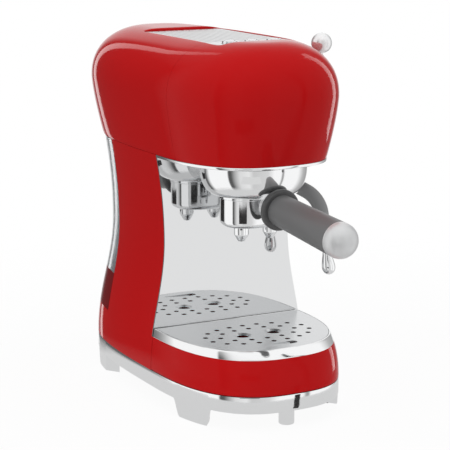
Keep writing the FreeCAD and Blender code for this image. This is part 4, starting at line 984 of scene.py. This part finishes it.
lever_y, lever_z = panel_y - 8.0, 262.0
boss_inner, boss_outer, boss_radius = 76.2, 83.4, 9
boss_profile = [
    (0, boss_inner), (boss_radius - 0.6, boss_inner), (boss_radius, 76.8), (boss_radius, 82), (8.2, 83),
    (6, boss_outer), (0, boss_outer),
]
boss_points = revolve(boss_profile, np.array([0.0, lever_y, lever_z]), across, along, upward, 96)
boss = grid_piece("lever_boss", boss_points, "lever", wrap_columns=True)
dress(boss, chrome, "chrome", "steam_lever")
arm_foot = np.array([79.6, lever_y, lever_z])
ball_centre = np.array([86.0, panel_y - 11.0, 301.4])
ball_radius, tenon_radius = 9.0, 3.6
arm_length = float(np.linalg.norm(ball_centre - arm_foot))


def lever_rod(name, profile):
    """A round piece of the lever from a (radius, distance) profile about the line from foot to ball."""
    way = (ball_centre - arm_foot) / np.linalg.norm(ball_centre - arm_foot)
    first = np.cross(way, along)
    first /= np.linalg.norm(first)
    points = revolve(profile, arm_foot, way, first, np.cross(way, first), 96)
    return grid_piece(name, points, "lever", wrap_columns=True)


arm_profile = [
    (0, 0), (3.5, 0), (2.7, arm_length - 11.5), (tenon_radius, arm_length - 11.2),
    (tenon_radius, arm_length - 9.6), (2.8, arm_length - 9.2), (2.6, arm_length - 6), (0, arm_length - 6),
]
dress(lever_rod("lever_arm", arm_profile), chrome, "chrome")
polar = np.linspace(0, np.pi, 49)
ball_profile = np.stack([ball_radius * np.sin(polar), arm_length - ball_radius * np.cos(polar)], axis=-1)
dress(lever_rod("lever_knob", ball_profile), satin_chrome, "chrome", "lever_ball")


# Steam arm
# A steel pipe on a ball under the head, bent out and down, in a grey rubber sleeve, with a polished
# teardrop nozzle screwed on its end.

coat(chrome, "wand_socket")
grey_rubber = finish_with(
    "grey_rubber", (0.27, 0.272, 0.275), rough=0.5, grain=900.0, spread=0.07, bump=0.1
)
pivot = np.array([46.0, panel_y - 12.0, 188.0])
swing = math.radians(-56.0)
arm_out = np.array([math.cos(swing), math.sin(swing), 0.0])
arm_side = np.array([-math.sin(swing), math.cos(swing), 0.0])
slope, fall_angle, run, bend_radius = math.radians(23.0), math.radians(81.0), 26.5, 24.0
bend_length = bend_radius * (fall_angle - slope)


def arm_frame(distance):
    """Point and slope of the pipe at a distance along it: a gentle run, a round bend, a steep fall."""
    on_bend = np.clip((distance - run) / bend_length, 0.0, 1.0)
    tilt = slope + on_bend * (fall_angle - slope)
    before = np.minimum(distance, run)
    after = np.maximum(distance - run - bend_length, 0.0)
    bend_out = bend_radius * (np.sin(tilt) - math.sin(slope))
    bend_down = bend_radius * (math.cos(slope) - np.cos(tilt))
    out = before * math.cos(slope) + bend_out + after * math.cos(fall_angle)
    down = before * math.sin(slope) + bend_down + after * math.sin(fall_angle)
    return out, down, tilt


def arm_piece(name, profile, material, slot, node):
    """Carry a round section of changing radius along the pipe's path."""
    profile = np.array(profile, float)
    out, down, tilt = arm_frame(profile[:, 1])
    centre = pivot + out[:, None] * arm_out - down[:, None] * upward
    normal = np.sin(tilt)[:, None] * arm_out + np.cos(tilt)[:, None] * upward
    turn = np.linspace(0, 2 * np.pi, 65)[:-1]
    side = np.cos(turn)[None, :, None] * normal[:, None, :] + np.sin(turn)[None, :, None] * arm_side
    points = centre[:, None, :] + profile[:, 0][:, None, None] * side
    dress(grid_piece(name, points, "wand", wrap_columns=True), material, slot, node)


arm_end = run + bend_length + 29.0
sleeve_start, sleeve_end, sleeve_radius, sleeve_bore = 10.5, arm_end - 10.0, 6.2, 3
sleeve_run = np.linspace(sleeve_start + 0.8, sleeve_end - 0.8, 60)
sleeve_profile = [(sleeve_bore, sleeve_start), (5.6, sleeve_start), (sleeve_radius, 11.1)]
sleeve_profile += [(sleeve_radius, distance) for distance in sleeve_run]
sleeve_profile += [(6.0, sleeve_end - 0.2), (5.4, sleeve_end), (sleeve_bore, sleeve_end)]
sleeve_profile += [(sleeve_bore, distance) for distance in sleeve_run[::-1]] + [(sleeve_bore, sleeve_start)]
arm_piece("rubber_sleeve", sleeve_profile, grey_rubber, "sleeve", "wand_sleeve")
pipe_start, pipe_end, pipe_radius = 7, arm_end + 3, 2.98
pipe_profile = [(pipe_radius, distance) for distance in np.linspace(pipe_start, pipe_end, 60)]
pipe_profile = [(0, pipe_start)] + pipe_profile + [(0, pipe_end)]
arm_piece("steel_pipe", pipe_profile, bare_steel, "steel", "wand_pipe")
nozzle_length, tear_neck, tear_belly, tear_turn = 24.0, 3.4, 5.8, 0.74
tear_end = tear_turn + (1 - tear_turn) * np.sin(np.linspace(0, np.pi / 2, 17))[1:]
tear = np.concatenate([np.linspace(0, tear_turn, 24), tear_end])
tear_radius = tear_neck + (tear_belly - tear_neck) * smooth_step(tear, 0.08, tear_turn)
tear_radius *= np.sqrt(np.maximum(1 - (np.maximum(tear - tear_turn, 0.0) / (1 - tear_turn)) ** 2, 0.0))
nozzle_profile = np.stack([tear_radius, arm_end + nozzle_length * tear], axis=-1)
nozzle_profile = np.concatenate([[(0.0, arm_end)], nozzle_profile])
arm_piece("tear_nozzle", nozzle_profile, chrome, "chrome", "steam_nozzle")


# Drip tray
# A red moulded tub that slides out to the front over the shelf, with a chromed rim snapped on top of it
# to hold the grid.

tray_low, red_top, tray_wall, tray_end = 29.4, 58.0, 2.5, -1.2
tray_middle, tray_columns = panel_y - 55.0, 241
red_plastic = red_finish("red_plastic")


def tray_row(height, inset, back):
    """One level of the tray: the body's outline in front, closed by a straight back."""
    front_row = body_row(height, inset, tray_end - back, tray_columns, in_front=True)
    back_row = np.linspace(front_row[-1], front_row[0], 61)[1:-1]
    return np.concatenate([front_row, back_row])


close_shares = (0.25, 0.5, 0.75, 0.95, 1.0)
tub_floor = tray_low + tray_wall
tub_edge, floor_edge_row = tray_row(tray_low, 1.0, 0.6), tray_row(tub_floor, tray_wall, tray_wall)
tub_rows = drawn_in(tub_edge, (0.0, tray_middle, tray_low), close_shares)[::-1]
tub_rows += [tub_edge, tray_row(tray_low + 0.3, 0.3, 0.2)]
tub_rows += [tray_row(height, 0.0, 0.0) for height in np.linspace(tray_low + 1.0, red_top, 21)]
tub_rows += [tray_row(height, tray_wall, tray_wall) for height in np.linspace(red_top, tub_floor, 9)]
tub_rows += drawn_in(floor_edge_row, (0.0, tray_middle, tub_floor), close_shares)
tub = grid_piece("drip_tub", np.stack(tub_rows, axis=0), "tray", wrap_columns=True)
enamel(tub, red_plastic, "red_plastic", "drip_tray")
grid_seat, rim_width, lip_width = 63.1, 5.0, 1.2
rim_levels = [(red_top, 2.6), (red_top, 0.15), (red_top + 0.25, 0.0)]
rim_levels += [(height, 0.0) for height in np.linspace(red_top + 0.8, tray_top - 0.9, 8)]
rim_levels += [(tray_top - 0.2, 0.1), (tray_top, 0.4), (tray_top, 1.1), (tray_top - 0.1, lip_width)]
rim_levels += [(grid_seat, lip_width), (grid_seat, rim_width), (red_top, rim_width)]
ring_rows = [tray_row(height, inset, inset) for height, inset in rim_levels]
ring = grid_piece("tray_ring", np.stack(ring_rows, axis=1), "tray", wrap_rows=True, wrap_columns=True)
dress(ring, chrome, "chrome", "drip_tray_rim")


# Drip grid
# A stamped stainless plate, brushed across, that lies loose in the rim and lifts out. It is punched with
# two rings of holes round two wells.

grid_steel = finish_with(
    "grid_steel", (0.66, 0.67, 0.68), rough=0.24, grain=90.0, spread=0.05, bump=0.03, metal=1.0,
    stretch=(1.0, 12.0, 1.0),
)
coat(grid_steel, "drip_grid")
